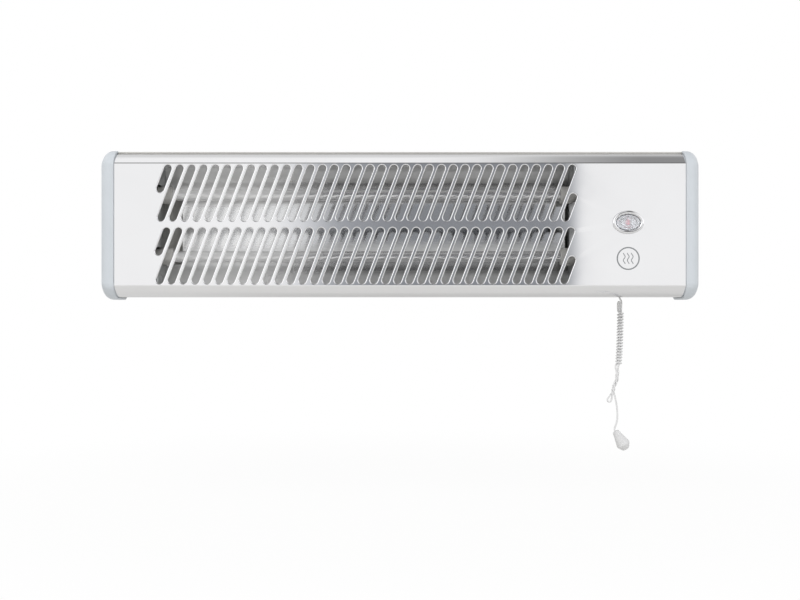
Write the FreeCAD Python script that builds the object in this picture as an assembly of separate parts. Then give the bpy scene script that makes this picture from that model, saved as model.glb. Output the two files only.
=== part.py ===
import FreeCAD, Part
import math
import os
from FreeCAD import Vector

# Infrared bathroom heater on a tilting wall bracket, in millimetres.
# +X runs along the heater to the right, -Y is the front, +Z is up, and the wall is the plane y = 0.
# The origin is the middle of the two wall screws, on the wall.

# Body of the heater
overall_width = 540.0
projection = 103.0
casing_depth = 60.0
casing_height = 131.2
band_height = 10.2
band_angle = 50.0
crease_radius = 1.5
casing_corner_radius = 9.0
panel_sheet = 0.8
casing_sheet = 1.0
seam_gap = 0.2
seam_lap_start = 25.0
seam_lap_end = 34.0
fit_gap = 0.1
bar_sides = 12

# Slots of the grille
grille_centre_x = -30.6
grille_margins = 175.9
slot_pitch = 10.71
slot_lean = 20.0
slot_width = 6.86
slot_rim = 0.8
slot_edge_gap = 0.6
slot_row_gap = 3.6
slot_end_facets = 4

# End caps
cap_wall = 1.7
cap_clearance = 0.6
cap_cover = 11.4
cap_nose_radius = 10.0
cap_edge_radius = 9.0
cap_pocket_rim = 6.0
cap_stop_gap = 0.5
panel_inset = 7.5

# Heating tubes, their holders and the reflector
tube_depth = 26.0
tube_radius = 5.0
tube_wall = 1.0
tube_bracket_past_slots = 5.93
tube_bracket_sheet = 1.0
ceramic_radius = 8.0
ceramic_length = 21.0
ceramic_inner_length = 10.6
ceramic_socket_depth = 8.0
coil_radius = 3.0
coil_end_gap = 4.0
reflector_sheet = 0.5
reflector_lip_depth = 6.0
reflector_wing_depth = 34.0
reflector_back_depth = 44.0
reflector_wing_radius = 10.0
reflector_back_past_tubes = 11.0
reflector_back_radius = 14.0
reflector_notch_length = 15.0
reflector_notch_margin = 9.0

# Signal lamp
lamp_from_end = 64.6
lamp_z = 1.7
oval_sides = 24
bezel_length = 28.0
bezel_height = 21.0
bezel_proud = 2.6
bezel_step = 0.6
bezel_sleeve_length = 23.2
bezel_sleeve_height = 16.2
bezel_sleeve_depth = 9.0
bezel_sleeve_wall = 0.7
lens_length = 19.6
lens_height = 12.0
lens_flange = 1.7
lens_proud = 2.0
lens_gap = 0.1
neon_radius = 2.8
neon_length = 13.0
neon_start = 2.4
lamp_holder_depth = 20.0
lamp_holder_plug = 3.0
lamp_holder_width = 14.0
lamp_holder_height = 10.6

# Pull switch inside the right end
cord_from_end = 65.0
cord_before_back = 15.0
cord_diameter = 1.3
drum_radius = 6.0
drum_flange_radius = 8.6
drum_groove_gap = 0.35
drum_groove_width = 3.0
drum_flange_width = 1.2
drum_rise = 17.0
drum_shaft_radius = 2.0
shaft_play = 0.05
switch_width = 34.0
switch_depth = 14.0
switch_height = 36.0
switch_wall = 2.0
switch_cover_sheet = 1.6
spring_sheet = 0.4
spring_width = 3.0
spring_gap = 0.4
spring_bend_radius = 2.4
blade_count = 3
blade_pitch = 9.0
blade_width = 6.3
blade_sheet = 0.8
blade_height = 12.0
blade_inside = 4.5
eyelet_neck_radius = 4.1
eyelet_flange_radius = 5.2
eyelet_flange = 0.8
eyelet_play = 1.05

# Mains side: cable grommet, terminal block and inner wires
gland_from_end = 34.0
gland_z = -15.0
gland_bore_radius = 4.0
gland_neck_radius = 6.4
gland_flange_radius = 8.6
gland_flange = 1.5
terminal_from_end = 32.0
terminal_z = 28.0
terminal_pole_pitch = 11.0
terminal_poles = 3
terminal_depth = 13.0
terminal_height = 22.0
terminal_groove_width = 3.0
terminal_groove_depth = 4.0
wire_diameter = 2.2
wire_passage_size = 7.0
wire_passage_drop = 9.6

# Wall bracket and tilting pivot
bracket_width = 330.0
bracket_height = 36.0
bracket_sheet = 1.5
bracket_bend_radius = 3.0
bracket_shoulder = 7.0
wall_screw_spacing = 240.0
wall_slot_width = 5.5
wall_slot_length = 14.0
pivot_behind_casing = 17.0
pivot_radius = 2.5
pivot_play = 0.06
ear_radius = 9.0
lug_sheet = 1.5
lug_base = 15.0
lug_height = 30.0
lug_bend_radius = 2.5
knob_radius = 11.0
knob_hub_radius = 6.5
knob_hub_length = 3.0
knob_grip = 8.5
knob_waist = 1.5
nut_across_corners = 9.2
nut_height = 3.4
screw_past_nut = 2.0
knob_lobes = 6

# Hanging pull cord, wound into a hank: drops are measured from where it leaves the casing,
# and the tail's places from where the hank's wraps end
cord_sides = 3
cord_exit_drop = 0.2
strand_gap = 0.46
hank_top_drop = 5.0
hank_side = 0.9
hank_lean = 1.9
core_angle = 63.0
wrap_down_drop = 11.5
wrap_start_drop = 15.5
wrap_turns = 17.61
wrap_gap = 1.34
wrap_run_in = 75.0
twist_below_wraps = 2.0
twist_length = 28.5
twist_side = 7.9
twist_angle = 297.0
twist_spread = 0.12
eye_half_width = 1.75
eye_length = 3.6
tail_points = [
    (1.2, -0.9, -8.5),
    (-0.4, -0.7, -15.5),
    (-4.0, -0.5, -24.0),
    (-3.8, -0.3, -31.0),
    (-2.7, -0.2, -37.0),
    (-2.0, -0.1, -43.0),
    (-1.9, 0.0, -49.0),
    (-2.4, 0.0, -54.3),
    (-4.0, 0.0, -58.0),
    (-4.7, 0.0, -60.4),
]
pull_place = (-3.6, 0.0, -62.3)
pull_tilt = 32.0
pull_top_radius = 3.25
pull_belly_radius = 6.4
pull_belly_length = 13.8
pull_length = 19.2
pull_foot_radius = 3.2
pull_edge = 0.8
pull_sides = 24

# Sizes that follow from the ones above
half_width = overall_width / 2
front_y = -projection
casing_back_y = front_y + casing_depth
panel_half_length = half_width - panel_inset
casing_half_outer = casing_height / 2 - panel_sheet - seam_gap
casing_half_inner = casing_half_outer - casing_sheet
casing_floor = casing_depth - casing_sheet
panel_flat_height = casing_height - 2 * band_height
slots_per_row = round((overall_width - grille_margins) / slot_pitch)
slot_row_height = (panel_flat_height - slot_row_gap) / 2 - slot_edge_gap
slot_row_spacing = slot_row_height + slot_row_gap
tube_spacing = slot_row_spacing
lamp_x = half_width - lamp_from_end
cord_x = half_width - cord_from_end
cord_depth = casing_floor - cord_before_back
gland_x = half_width - gland_from_end
terminal_x = half_width - terminal_from_end
plate_offset = -(casing_height / 2 - casing_half_inner + fit_gap)
pivot_y = casing_back_y + pivot_behind_casing
cap_proud = cap_clearance + cap_wall
bracket_half = bracket_width / 2
lug_outer_x = bracket_half - bracket_sheet - fit_gap
tube_bracket_half = slots_per_row * slot_pitch / 2 + tube_bracket_past_slots
drum_x = cord_x - drum_radius
drum_z = -casing_half_inner + drum_rise
cord_y = front_y + cord_depth
cord_radius = cord_diameter / 2
cord_exit_z = -casing_half_outer - eyelet_flange - cord_exit_drop
core_half = (cord_diameter + strand_gap) / 2
wrap_radius = core_half + cord_diameter + strand_gap
wrap_pitch = cord_diameter + wrap_gap
twist_drop = wrap_start_drop + wrap_pitch * wrap_turns + twist_below_wraps
lead_set_back = core_half * (2 - math.sin(math.radians(core_angle))) + 0.07
bight_radius = core_half + 0.04
bight_drop = hank_top_drop + cord_radius + bight_radius
eyelet_bore_radius = cord_radius + eyelet_play
ceramic_end = tube_bracket_half + tube_bracket_sheet / 2 - ceramic_inner_length + ceramic_length
switch_front = cord_depth - switch_depth / 2
switch_back = cord_depth + switch_depth / 2
switch_bottom = -casing_half_inner
switch_top = switch_bottom + switch_height
wire_passage_depth = casing_floor - terminal_depth / 2
wire_passage_z = casing_half_inner - wire_passage_drop
X_AXIS = Vector(1, 0, 0)
Y_AXIS = Vector(0, 1, 0)
Z_AXIS = Vector(0, 0, 1)


# Drawing helpers
def at(x, depth, z):
    """A point given by its depth behind the face of the front panel."""
    return Vector(x, front_y + depth, z)


def tangent_corners(points, radii, closed=False):
    """Where an arc in each corner of a run starts, has its middle and ends."""
    corners = []
    for i, corner in enumerate(points):
        if radii[i] <= 0 or (not closed and i in (0, len(points) - 1)):
            corners.append((corner, None, corner))
            continue
        back = (points[i - 1] - corner).normalize()
        ahead = (points[(i + 1) % len(points)] - corner).normalize()
        half = back.getAngle(ahead) / 2
        reach = radii[i] / math.tan(half)
        inward = (back + ahead).normalize() * (radii[i] / math.sin(half) - radii[i])
        corners.append((corner + back * reach, corner + inward, corner + ahead * reach))
    return corners


def rounded_path(points, radii, closed=False):
    """A wire of straight runs whose corners are rounded by tangent arcs."""
    corners = tangent_corners(points, radii, closed)
    edges = []
    for i, (start, middle, end) in enumerate(corners):
        if middle is not None:
            edges.append(Part.Arc(start, middle, end).toShape())
        if closed or i < len(corners) - 1:
            following = corners[(i + 1) % len(corners)][0]
            if end.distanceToPoint(following) > 1e-6:
                edges.append(Part.LineSegment(end, following).toShape())
    return Part.Wire(edges)


def offset_line(points, distance):
    """The same run of flat points, moved to its left by a distance."""
    normals = []
    for (x0, z0), (x1, z1) in zip(points, points[1:]):
        length = math.hypot(x1 - x0, z1 - z0)
        normals.append(((z0 - z1) / length, (x1 - x0) / length))
    moved = []
    for i, (x, z) in enumerate(points):
        a = normals[max(i - 1, 0)]
        b = normals[min(i, len(normals) - 1)]
        share = distance / (1 + a[0] * b[0] + a[1] * b[1])
        moved.append((x + (a[0] + b[0]) * share, z + (a[1] + b[1]) * share))
    return moved


def sheet_face(points, radii, thickness, place):
    """The section of a bent sheet: its line, with the metal on the line's left."""
    inner_radii = list(radii)
    for i in range(1, len(points) - 1):
        (x0, z0), (x1, z1), (x2, z2) = points[i - 1 : i + 2]
        turn = (x1 - x0) * (z2 - z1) - (z1 - z0) * (x2 - x1)
        inner_radii[i] = radii[i] - math.copysign(thickness, turn)
    outer = [place(*p) for p in points]
    inner = [place(*p) for p in offset_line(points, thickness)]
    edges = list(rounded_path(outer, radii).Edges)
    edges += rounded_path(inner, inner_radii).Edges
    edges.append(Part.LineSegment(outer[0], inner[0]).toShape())
    edges.append(Part.LineSegment(outer[-1], inner[-1]).toShape())
    return Part.Face(Part.Wire(Part.__sortEdges__(edges)))


def along_x(face, x0, x1):
    """A section in the plane x = 0 stretched from x0 to x1."""
    solid = face.extrude(Vector(x1 - x0, 0, 0))
    solid.translate(Vector(x0, 0, 0))
    return solid


def rod(start, end, radius):
    """A round bar between two points."""
    return Part.makeCylinder(radius, start.distanceToPoint(end), start, end - start)


def block(x0, x1, depth0, depth1, z0, z1):
    """A square-edged block between two depths."""
    return Part.makeBox(x1 - x0, depth1 - depth0, z1 - z0, at(x0, depth0, z0))


def polygon_face(points):
    return Part.Face(Part.makePolygon(points + points[:1]))


def faceted_face(points, radii):
    """A closed outline with two facets in place of each corner's arc."""
    facets = []
    for start, middle, end in tangent_corners(points, radii, closed=True):
        facets += [start] if middle is None else [start, middle, end]
    return polygon_face(facets)


def polygon_bar(start, run, radii):
    """A bar along an axis of the frame, with a corner for each of the given radii in turn."""
    axis = Vector(run).normalize()
    across = Vector(axis.y, axis.z, axis.x)
    other = axis.cross(across)
    points = []
    for i, radius in enumerate(radii):
        turn = 2 * math.pi * i / len(radii)
        points.append(start + (across * math.cos(turn) + other * math.sin(turn)) * radius)
    return polygon_face(points).extrude(run)


def round_bar(start, run, radius):
    """A plain round bar of few sides, for what isn't a bearing."""
    return polygon_bar(start, run, [radius] * bar_sides)


def grommet(inside, outside, flange, neck_radius, flange_radius, bore_radius):
    """A ring with a neck through a sheet, a flange on the sheet's outside and a round bore."""
    outward = (outside - inside).normalize()
    end = outside + outward * flange
    ring = round_bar(inside, outside - inside, neck_radius)
    ring = ring.fuse(round_bar(outside, outward * flange, flange_radius)).removeSplitter()
    return ring.cut(rod(inside - outward, end + outward, bore_radius))


def oval_prism(length, height, depth0, depth1):
    """An oval of few sides about the signal lamp's middle, between two depths."""
    points = []
    for i in range(oval_sides):
        turn = 2 * math.pi * i / oval_sides
        x = lamp_x + length / 2 * math.cos(turn)
        points.append(at(x, depth0, lamp_z + height / 2 * math.sin(turn)))
    return polygon_face(points).extrude(Y_AXIS * (depth1 - depth0))


def obround(centre, half_run, radius, lean):
    """A slot outline with round ends, leaning from upright to the right."""
    run = Vector(math.sin(lean), 0, math.cos(lean)) * half_run
    side = Vector(math.cos(lean), 0, -math.sin(lean)) * radius
    tip = Vector(math.sin(lean), 0, math.cos(lean)) * radius
    top = centre + run
    foot = centre - run
    return Part.Wire(
        [
            Part.Arc(top - side, top + tip, top + side).toShape(),
            Part.LineSegment(top + side, foot + side).toShape(),
            Part.Arc(foot + side, foot - tip, foot - side).toShape(),
            Part.LineSegment(foot - side, top - side).toShape(),
        ]
    )


def polygon_slot(centre, half_run, radius, lean):
    """A slot outline whose round ends are drawn with a few facets."""
    along = Vector(math.sin(lean), 0, math.cos(lean))
    across = Vector(math.cos(lean), 0, -math.sin(lean))
    points = []
    for sign in (1, -1):
        for i in range(slot_end_facets + 1):
            turn = math.pi * i / slot_end_facets
            spoke = along * math.sin(turn) - across * math.cos(turn)
            points.append(centre + (along * half_run + spoke * radius) * sign)
    return Part.makePolygon(points + points[:1])


def mirrored(shape):
    """The same piece on the heater's other side."""
    return shape.mirror(Vector(0, 0, 0), X_AXIS)


def both_sides(shape):
    return Part.makeCompound([shape, mirrored(shape)])


def faceted_tube(edges, start, direction, diameter, sharp_corners=False):
    """A cord of few sides swept along a path."""
    side = direction.cross(Y_AXIS if abs(direction.y) < 0.9 else X_AXIS).normalize()
    other = direction.cross(side).normalize()
    corners = []
    for i in range(cord_sides):
        turn = 2 * math.pi * i / cord_sides
        spoke = side * math.cos(turn) + other * math.sin(turn)
        corners.append(start + spoke * (diameter / 2))
    section = Part.makePolygon(corners + corners[:1])
    tube = Part.Wire(edges).makePipeShell([section], True, False, 1 if sharp_corners else 0)
    return Part.Solid(tube) if tube.ShapeType == "Shell" else tube


def cord_along(points, diameter):
    """A cord on straight runs joined by arcs as large as the runs allow, and its radii."""
    radii = [0.0]
    for before, corner, after in zip(points, points[1:], points[2:]):
        shorter = min(before.distanceToPoint(corner), corner.distanceToPoint(after))
        half_turn = (corner - before).getAngle(after - corner) / 2
        radii.append(0.45 * shorter / math.tan(half_turn))
    radii.append(0.0)
    path = rounded_path(points, radii)
    tube = faceted_tube(path.Edges, points[0], (points[1] - points[0]).normalize(), diameter)
    return tube, radii[1:-1], path.Length


def section_area(diameter):
    return cord_sides / 2 * (diameter / 2) ** 2 * math.sin(2 * math.pi / cord_sides)


def biarc(p0, t0, p1, t1):
    """Two arcs, tangent to each other, from one place and direction to another."""
    run = p1 - p0
    both = t0 + t1
    spread = 2 * (1 - t0.dot(t1))
    reach = run.dot(both)
    if spread < 1e-9:
        reach = run.dot(run) / (2 * reach)
    else:
        reach = (math.sqrt(reach * reach + spread * run.dot(run)) - reach) / spread
    joint = (p0 + p1 + (t0 - t1) * reach) * 0.5
    edges = []
    for start, control, end in ((p0, p0 + t0 * reach, joint), (joint, p1 - t1 * reach, p1)):
        weight = start.distanceToPoint(end) / (2 * reach)
        middle = (start + control * (2 * weight) + end) * (0.5 / (1 + weight))
        if middle.distanceToLine(start, end - start) < 1e-4:
            edges.append(Part.LineSegment(start, end).toShape())
        else:
            edges.append(Part.Arc(start, middle, end).toShape())
    return edges


# Casing, front panel and end caps
def outline_corners(offset):
    """The casing seen from its end, grown outwards by an offset, as (depth, z) corners."""
    slope = math.radians(band_angle)
    top = casing_height / 2
    shoulder = (top - panel_flat_height / 2) / math.tan(slope)
    nose_z = panel_flat_height / 2 + offset * math.cos(slope) / (1 + math.sin(slope))
    shoulder_depth = shoulder - offset * math.sin(slope) / (1 + math.cos(slope))
    upper = [(-offset, nose_z), (shoulder_depth, top + offset)]
    return upper + [(shoulder_depth, -top - offset), (-offset, -nose_z)]


def band_radius(offset, nose_radius):
    """The largest radius that bends the sloping band into the top."""
    slope = math.radians(band_angle)
    (depth0, z0), (depth1, z1) = outline_corners(offset)[:2]
    straight = 0.2
    nose_reach = nose_radius * math.tan((math.pi / 2 - slope) / 2)
    length = math.hypot(depth1 - depth0, z1 - z0) - nose_reach - straight
    return length / math.tan(slope / 2)


def outline_sizes(offset, nose_radius, back):
    """The corners of the casing's closed outline and their radii, to a given depth at the back."""
    upper_nose, upper, lower, lower_nose = outline_corners(offset)
    corners = [upper_nose, upper, (back, upper[1]), (back, lower[1]), lower, lower_nose]
    band = band_radius(offset, nose_radius)
    rear = casing_corner_radius + panel_sheet + seam_gap + offset
    return [at(0, *p) for p in corners], [nose_radius, band, rear, rear, band, nose_radius]


def outline_face(offset, nose_radius, back):
    return Part.Face(rounded_path(*outline_sizes(offset, nose_radius, back), closed=True))


def faceted_outline(offset, nose_radius, back):
    """The same outline with facets in place of its arcs, for what lies inside."""
    return faceted_face(*outline_sizes(offset, nose_radius, back))


def slot_tools():
    """The tapered cutters of both rows, with a short slot at each end of a row."""
    lean = math.radians(slot_lean)
    outer_radius = slot_width / 2 + slot_rim / 2
    half_run = (slot_row_height / 2 - outer_radius) / math.cos(lean)
    tools = []
    for row in (-1, 1):
        row_z = row * slot_row_spacing / 2
        for i in range(-1, slots_per_row + 1):
            x = grille_centre_x + (i - (slots_per_row - 1) / 2) * slot_pitch
            run = half_run
            shift = 0.0
            if i in (-1, slots_per_row):
                run = (half_run - outer_radius) / 2
                shift = (half_run - run) if i < 0 else (run - half_run)
            wires = []
            for depth, radius in (
                (-slot_rim, outer_radius + slot_rim),
                (panel_sheet + slot_rim, outer_radius - panel_sheet - slot_rim),
            ):
                centre = at(x + shift * math.sin(lean), depth, row_z + shift * math.cos(lean))
                wires.append(polygon_slot(centre, run, radius, lean))
            tools.append(Part.makeLoft(wires, True, True))
    return tools


def front_grille():
    nose, upper, lower, lower_nose = outline_corners(0.0)
    points = [(seam_lap_end, upper[1]), upper, nose, lower_nose, lower, (seam_lap_end, lower[1])]
    band = band_radius(0.0, crease_radius)
    radii = [0, band, crease_radius, crease_radius, band, 0]
    face = sheet_face(points, radii, panel_sheet, lambda depth, z: at(0, depth, z))
    panel = along_x(face, -panel_half_length, panel_half_length)
    hole_length = bezel_sleeve_length + 2 * fit_gap
    hole_height = bezel_sleeve_height + 2 * fit_gap
    lamp_hole = oval_prism(hole_length, hole_height, -1, panel_sheet + 1)
    tools = slot_tools() + [lamp_hole]
    return panel.cut(Part.makeCompound(tools))


def rear_casing():
    half = casing_half_outer
    points = [(seam_lap_start, -half), (casing_depth, -half), (casing_depth, half), (seam_lap_start, half)]
    radii = [0, casing_corner_radius, casing_corner_radius, 0]
    face = sheet_face(points, radii, casing_sheet, lambda depth, z: at(0, depth, z))
    casing = along_x(face, -panel_half_length, panel_half_length)
    through = casing_sheet + 2
    tools = [
        rod(at(gland_x, casing_floor - 1, gland_z), at(gland_x, casing_depth + 1, gland_z),
            gland_neck_radius + shaft_play),
        round_bar(at(cord_x, cord_depth, -half - 1), Z_AXIS * through, eyelet_neck_radius + shaft_play),
    ]
    return casing.cut(Part.makeCompound(tools))


def round_end(solid, x, radius):
    """Rounds the edges of a solid that lie in the plane of its outer end."""
    edges = []
    for edge in solid.Edges:
        if all(abs(vertex.X - x) < 1e-6 for vertex in edge.Vertexes):
            edges.append(edge)
    return solid.makeFillet(radius, edges)


def end_cap_right():
    """A moulded cap that slips over the casing's end, with a pocket that keeps its wall even."""
    mouth = half_width - cap_cover
    stop = panel_half_length + cap_stop_gap
    edge_radius = min(cap_edge_radius, cap_nose_radius - 0.5, cap_cover - 0.5)
    outer = outline_face(cap_proud, cap_nose_radius, casing_depth + cap_proud)
    inner = outline_face(cap_clearance, cap_nose_radius - cap_wall, casing_depth + cap_clearance)
    pocket_corners, _ = outline_sizes(-cap_pocket_rim, crease_radius, casing_depth - cap_pocket_rim)
    cap = round_end(along_x(outer, mouth, half_width), half_width, edge_radius)
    cap = cap.cut(along_x(inner, mouth - 1, stop))
    return cap.cut(along_x(polygon_face(pocket_corners), stop - 1, half_width - cap_wall))


def inner_plate(x0, x1):
    """A plate across the inside of the casing."""
    face = faceted_outline(plate_offset, crease_radius, casing_floor - fit_gap)
    return along_x(face, x0, x1)


# Heating tubes, their holders and the reflector
def tube_place(side):
    """The middle of the upper (1) or lower (-1) heating tube."""
    return at(grille_centre_x, tube_depth, side * tube_spacing / 2)


def tube_bracket(end):
    """The holder at one end: a plate with a slot for each tube, open to the front."""
    x0 = grille_centre_x + end * tube_bracket_half - tube_bracket_sheet / 2
    plate = inner_plate(x0, x0 + tube_bracket_sheet)
    radius = ceramic_radius + fit_gap
    for side in (-1, 1):
        z = side * tube_spacing / 2
        plate = plate.cut(rod(at(x0 - 1, tube_depth, z), at(x0 + 2, tube_depth, z), radius))
        plate = plate.cut(block(x0 - 1, x0 + 2, -1, tube_depth, z - radius, z + radius))
    depth0 = wire_passage_depth - wire_passage_size / 2
    z0 = wire_passage_z - wire_passage_size / 2
    passage = block(x0 - 1, x0 + 2, depth0, depth0 + wire_passage_size, z0, z0 + wire_passage_size)
    return plate.cut(passage)


def tube_half_length():
    inner = tube_bracket_half + tube_bracket_sheet / 2 - ceramic_inner_length
    return inner + ceramic_socket_depth - fit_gap


def quartz_tube(side):
    half = tube_half_length()
    start = tube_place(side) - X_AXIS * half
    end = tube_place(side) + X_AXIS * half
    return rod(start, end, tube_radius).cut(rod(start, end, tube_radius - tube_wall))


def heating_coil(side):
    """The wound heating wire as its outer shape."""
    half = tube_half_length() - coil_end_gap
    return round_bar(tube_place(side) - X_AXIS * half, X_AXIS * (2 * half), coil_radius)


def ceramic(side, end):
    """A ceramic cup on the end of a tube, seated in the slot of its bracket."""
    outward = X_AXIS * end
    inner = tube_bracket_half + tube_bracket_sheet / 2 - ceramic_inner_length
    start = tube_place(side) + outward * inner
    socket = (tube_radius + fit_gap) / math.cos(math.pi / bar_sides)
    cup = round_bar(start, outward * ceramic_length, ceramic_radius)
    return cup.cut(round_bar(start, outward * ceramic_socket_depth, socket))


def tube_ceramics():
    return Part.makeCompound([ceramic(side, end) for side in (-1, 1) for end in (-1, 1)])


def reflector():
    """A polished sheet bent into a flat-backed trough, cut back between the tubes at both ends."""
    lip_z = panel_flat_height / 2 + panel_sheet
    wing_z = lip_z - 2.5
    upper = [
        (reflector_lip_depth, lip_z),
        (reflector_wing_depth, wing_z),
        (reflector_back_depth, tube_spacing / 2 + reflector_back_past_tubes),
    ]
    lower = [(depth, -z) for depth, z in reversed(upper)]
    points = upper + lower
    wing = reflector_wing_radius
    back = reflector_back_radius
    radii = [0, wing, back, back, wing, 0]
    face = sheet_face(points, radii, reflector_sheet, lambda depth, z: at(0, depth, z))
    half = tube_bracket_half - tube_bracket_sheet / 2 - fit_gap
    sheet = along_x(face, grille_centre_x - half, grille_centre_x + half)
    for end in (-1, 1):
        x = grille_centre_x + end * half
        sheet = sheet.cut(
            block(
                x - reflector_notch_length,
                x + reflector_notch_length,
                -1,
                casing_depth,
                reflector_notch_margin - tube_spacing / 2,
                tube_spacing / 2 - reflector_notch_margin,
            )
        )
    return sheet


# Signal lamp
def lamp_bezel():
    """A bright oval ring with a sleeve through the panel."""
    cavity_length = bezel_sleeve_length - 2 * bezel_sleeve_wall
    cavity_height = bezel_sleeve_height - 2 * bezel_sleeve_wall
    ring = oval_prism(bezel_length, bezel_height, -bezel_proud, 0)
    sleeve = oval_prism(bezel_sleeve_length, bezel_sleeve_height, -fit_gap, bezel_sleeve_depth)
    opening = oval_prism(lens_length, lens_height, -bezel_proud - 1, 1)
    cavity = oval_prism(cavity_length, cavity_height, -bezel_step + fit_gap, bezel_sleeve_depth + 1)
    return ring.fuse(sleeve).cut(opening).cut(cavity)


def lamp_lens():
    """A clear oval window with a flange behind the bezel's step."""
    flange_length = bezel_sleeve_length - 2 * bezel_sleeve_wall - 2 * lens_gap
    flange_height = bezel_sleeve_height - 2 * bezel_sleeve_wall - 2 * lens_gap
    back = -bezel_step + fit_gap + lens_gap
    window = oval_prism(lens_length - 2 * lens_gap, lens_height - 2 * lens_gap, -lens_proud, back)
    return window.fuse(oval_prism(flange_length, flange_height, back, back + lens_flange))


def neon_lamp():
    """The small glass capsule of the signal lamp."""
    return round_bar(at(lamp_x, neon_start, lamp_z), Y_AXIS * neon_length, neon_radius)


def lamp_holder():
    """The lamp's socket, plugged into the back of the bezel."""
    body = block(
        lamp_x - lamp_holder_width / 2,
        lamp_x + lamp_holder_width / 2,
        bezel_sleeve_depth - lamp_holder_plug,
        lamp_holder_depth,
        lamp_z - lamp_holder_height / 2,
        lamp_z + lamp_holder_height / 2,
    )
    socket_end = neon_start + neon_length + fit_gap
    return body.cut(round_bar(at(lamp_x, 0, lamp_z), Y_AXIS * socket_end, neon_radius + fit_gap))


# Pull switch
def blade_places():
    """Places of the switch's terminal blades along its top."""
    first = drum_x - blade_pitch * (blade_count - 1) / 2
    return [first + blade_pitch * i for i in range(blade_count)]


def switch_box(inset, front, back):
    """The upright body of the switch between two depths, drawn in by an inset on its sides."""
    half = switch_width / 2 - inset
    return block(drum_x - half, drum_x + half, front, back, switch_bottom + inset, switch_top - inset)


def shaft_hole(depth0, depth1):
    return rod(at(drum_x, depth0, drum_z), at(drum_x, depth1, drum_z), drum_shaft_radius + shaft_play)


def switch_housing():
    """A moulded box, open at the back, with the drum's front bearing and holes for cord and blades."""
    shell = switch_box(0, switch_front, switch_back)
    shell = shell.cut(switch_box(switch_wall, switch_front + switch_wall, switch_back + 1))
    cord_hole = at(cord_x, cord_depth, switch_bottom - 1)
    shell = shell.cut(shaft_hole(switch_front + switch_wall / 2, switch_back))
    shell = shell.cut(round_bar(cord_hole, Z_AXIS * (switch_wall + 2), eyelet_bore_radius))
    for x in blade_places():
        shell = shell.cut(
            block(
                x - blade_sheet / 2 - fit_gap,
                x + blade_sheet / 2 + fit_gap,
                cord_depth - blade_width / 2 - fit_gap,
                cord_depth + blade_width / 2 + fit_gap,
                switch_top - switch_wall - 1,
                switch_top + 1,
            )
        )
    return shell


def switch_cover():
    """The back of the switch, with the drum's rear bearing."""
    front = switch_back + fit_gap
    plate = switch_box(switch_wall / 2, front, front + switch_cover_sheet)
    return plate.cut(shaft_hole(front - 1, front + switch_cover_sheet + 1))


def switch_drum():
    """The cord drum on its shaft, with a groove between two flanges."""
    bottom = drum_radius - cord_radius - drum_groove_gap
    front = cord_depth - drum_groove_width / 2
    back = cord_depth + drum_groove_width / 2
    shaft_start = at(drum_x, switch_front + switch_wall / 2 + fit_gap, drum_z)
    drum = rod(shaft_start, at(drum_x, switch_back + switch_cover_sheet, drum_z), drum_shaft_radius)
    for depth, width, radius in (
        (front - drum_flange_width, drum_flange_width, drum_flange_radius),
        (front, drum_groove_width, bottom),
        (back, drum_flange_width, drum_flange_radius),
    ):
        drum = drum.fuse(round_bar(at(drum_x, depth, drum_z), Y_AXIS * width, radius))
    return drum.removeSplitter()


def return_spring():
    """A hairpin leaf between the housing's wall and the drum."""
    wall_x = drum_x - switch_width / 2 + switch_wall + spring_gap
    drum_side_x = drum_x - drum_flange_radius - spring_gap
    top = switch_top - switch_wall - blade_inside - 1
    points = [(drum_side_x, drum_z), (drum_side_x, top), (wall_x, top), (wall_x, drum_z - 8)]
    radii = [0, spring_bend_radius, spring_bend_radius, 0]
    front = cord_depth - spring_width / 2
    face = sheet_face(points, radii, spring_sheet, lambda x, z: at(x, front, z))
    return face.extrude(Y_AXIS * spring_width)


def switch_blades():
    pieces = []
    foot = switch_top - switch_wall - blade_inside
    for x in blade_places():
        pieces.append(
            block(
                x - blade_sheet / 2,
                x + blade_sheet / 2,
                cord_depth - blade_width / 2,
                cord_depth + blade_width / 2,
                foot,
                foot + blade_height + blade_inside,
            )
        )
    return Part.makeCompound(pieces)


def cord_eyelet():
    """The grommet that the cord runs through, pushed into the casing's bottom."""
    inside = at(cord_x, cord_depth, -casing_half_inner)
    outside = at(cord_x, cord_depth, -casing_half_outer)
    return grommet(
        inside, outside, eyelet_flange, eyelet_neck_radius, eyelet_flange_radius, eyelet_bore_radius
    )


def switch_cord():
    """The cord from the drum down into the eyelet."""
    low = cord_exit_z + cord_exit_drop + 0.5
    return round_bar(at(cord_x, cord_depth, low), Z_AXIS * (drum_z - low), cord_radius)


# Mains side
def cable_gland():
    """A rubber grommet in the back of the casing for the mains cable."""
    inside = at(gland_x, casing_floor, gland_z)
    outside = at(gland_x, casing_depth, gland_z)
    return grommet(
        inside, outside, gland_flange, gland_neck_radius, gland_flange_radius, gland_bore_radius
    )


def pole_places():
    """Places of the terminal block's poles."""
    first = terminal_x - terminal_pole_pitch * (terminal_poles - 1) / 2
    return [first + terminal_pole_pitch * i for i in range(terminal_poles)]


def terminal_front():
    return casing_floor - terminal_depth


def terminal_block():
    """A moulded block with a barrel for each pole, on the back of the casing."""
    half = terminal_pole_pitch * terminal_poles / 2
    front = terminal_front()
    z0 = terminal_z - terminal_height / 2
    z1 = terminal_z + terminal_height / 2
    body = block(terminal_x - half, terminal_x + half, front, casing_floor, z0, z1)
    for left, right in zip(pole_places(), pole_places()[1:]):
        middle = (left + right) / 2
        x0 = middle - terminal_groove_width / 2
        x1 = middle + terminal_groove_width / 2
        body = body.cut(block(x0, x1, front - 1, front + terminal_groove_depth, z0 - 1, z1 + 1))
    return body


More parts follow.
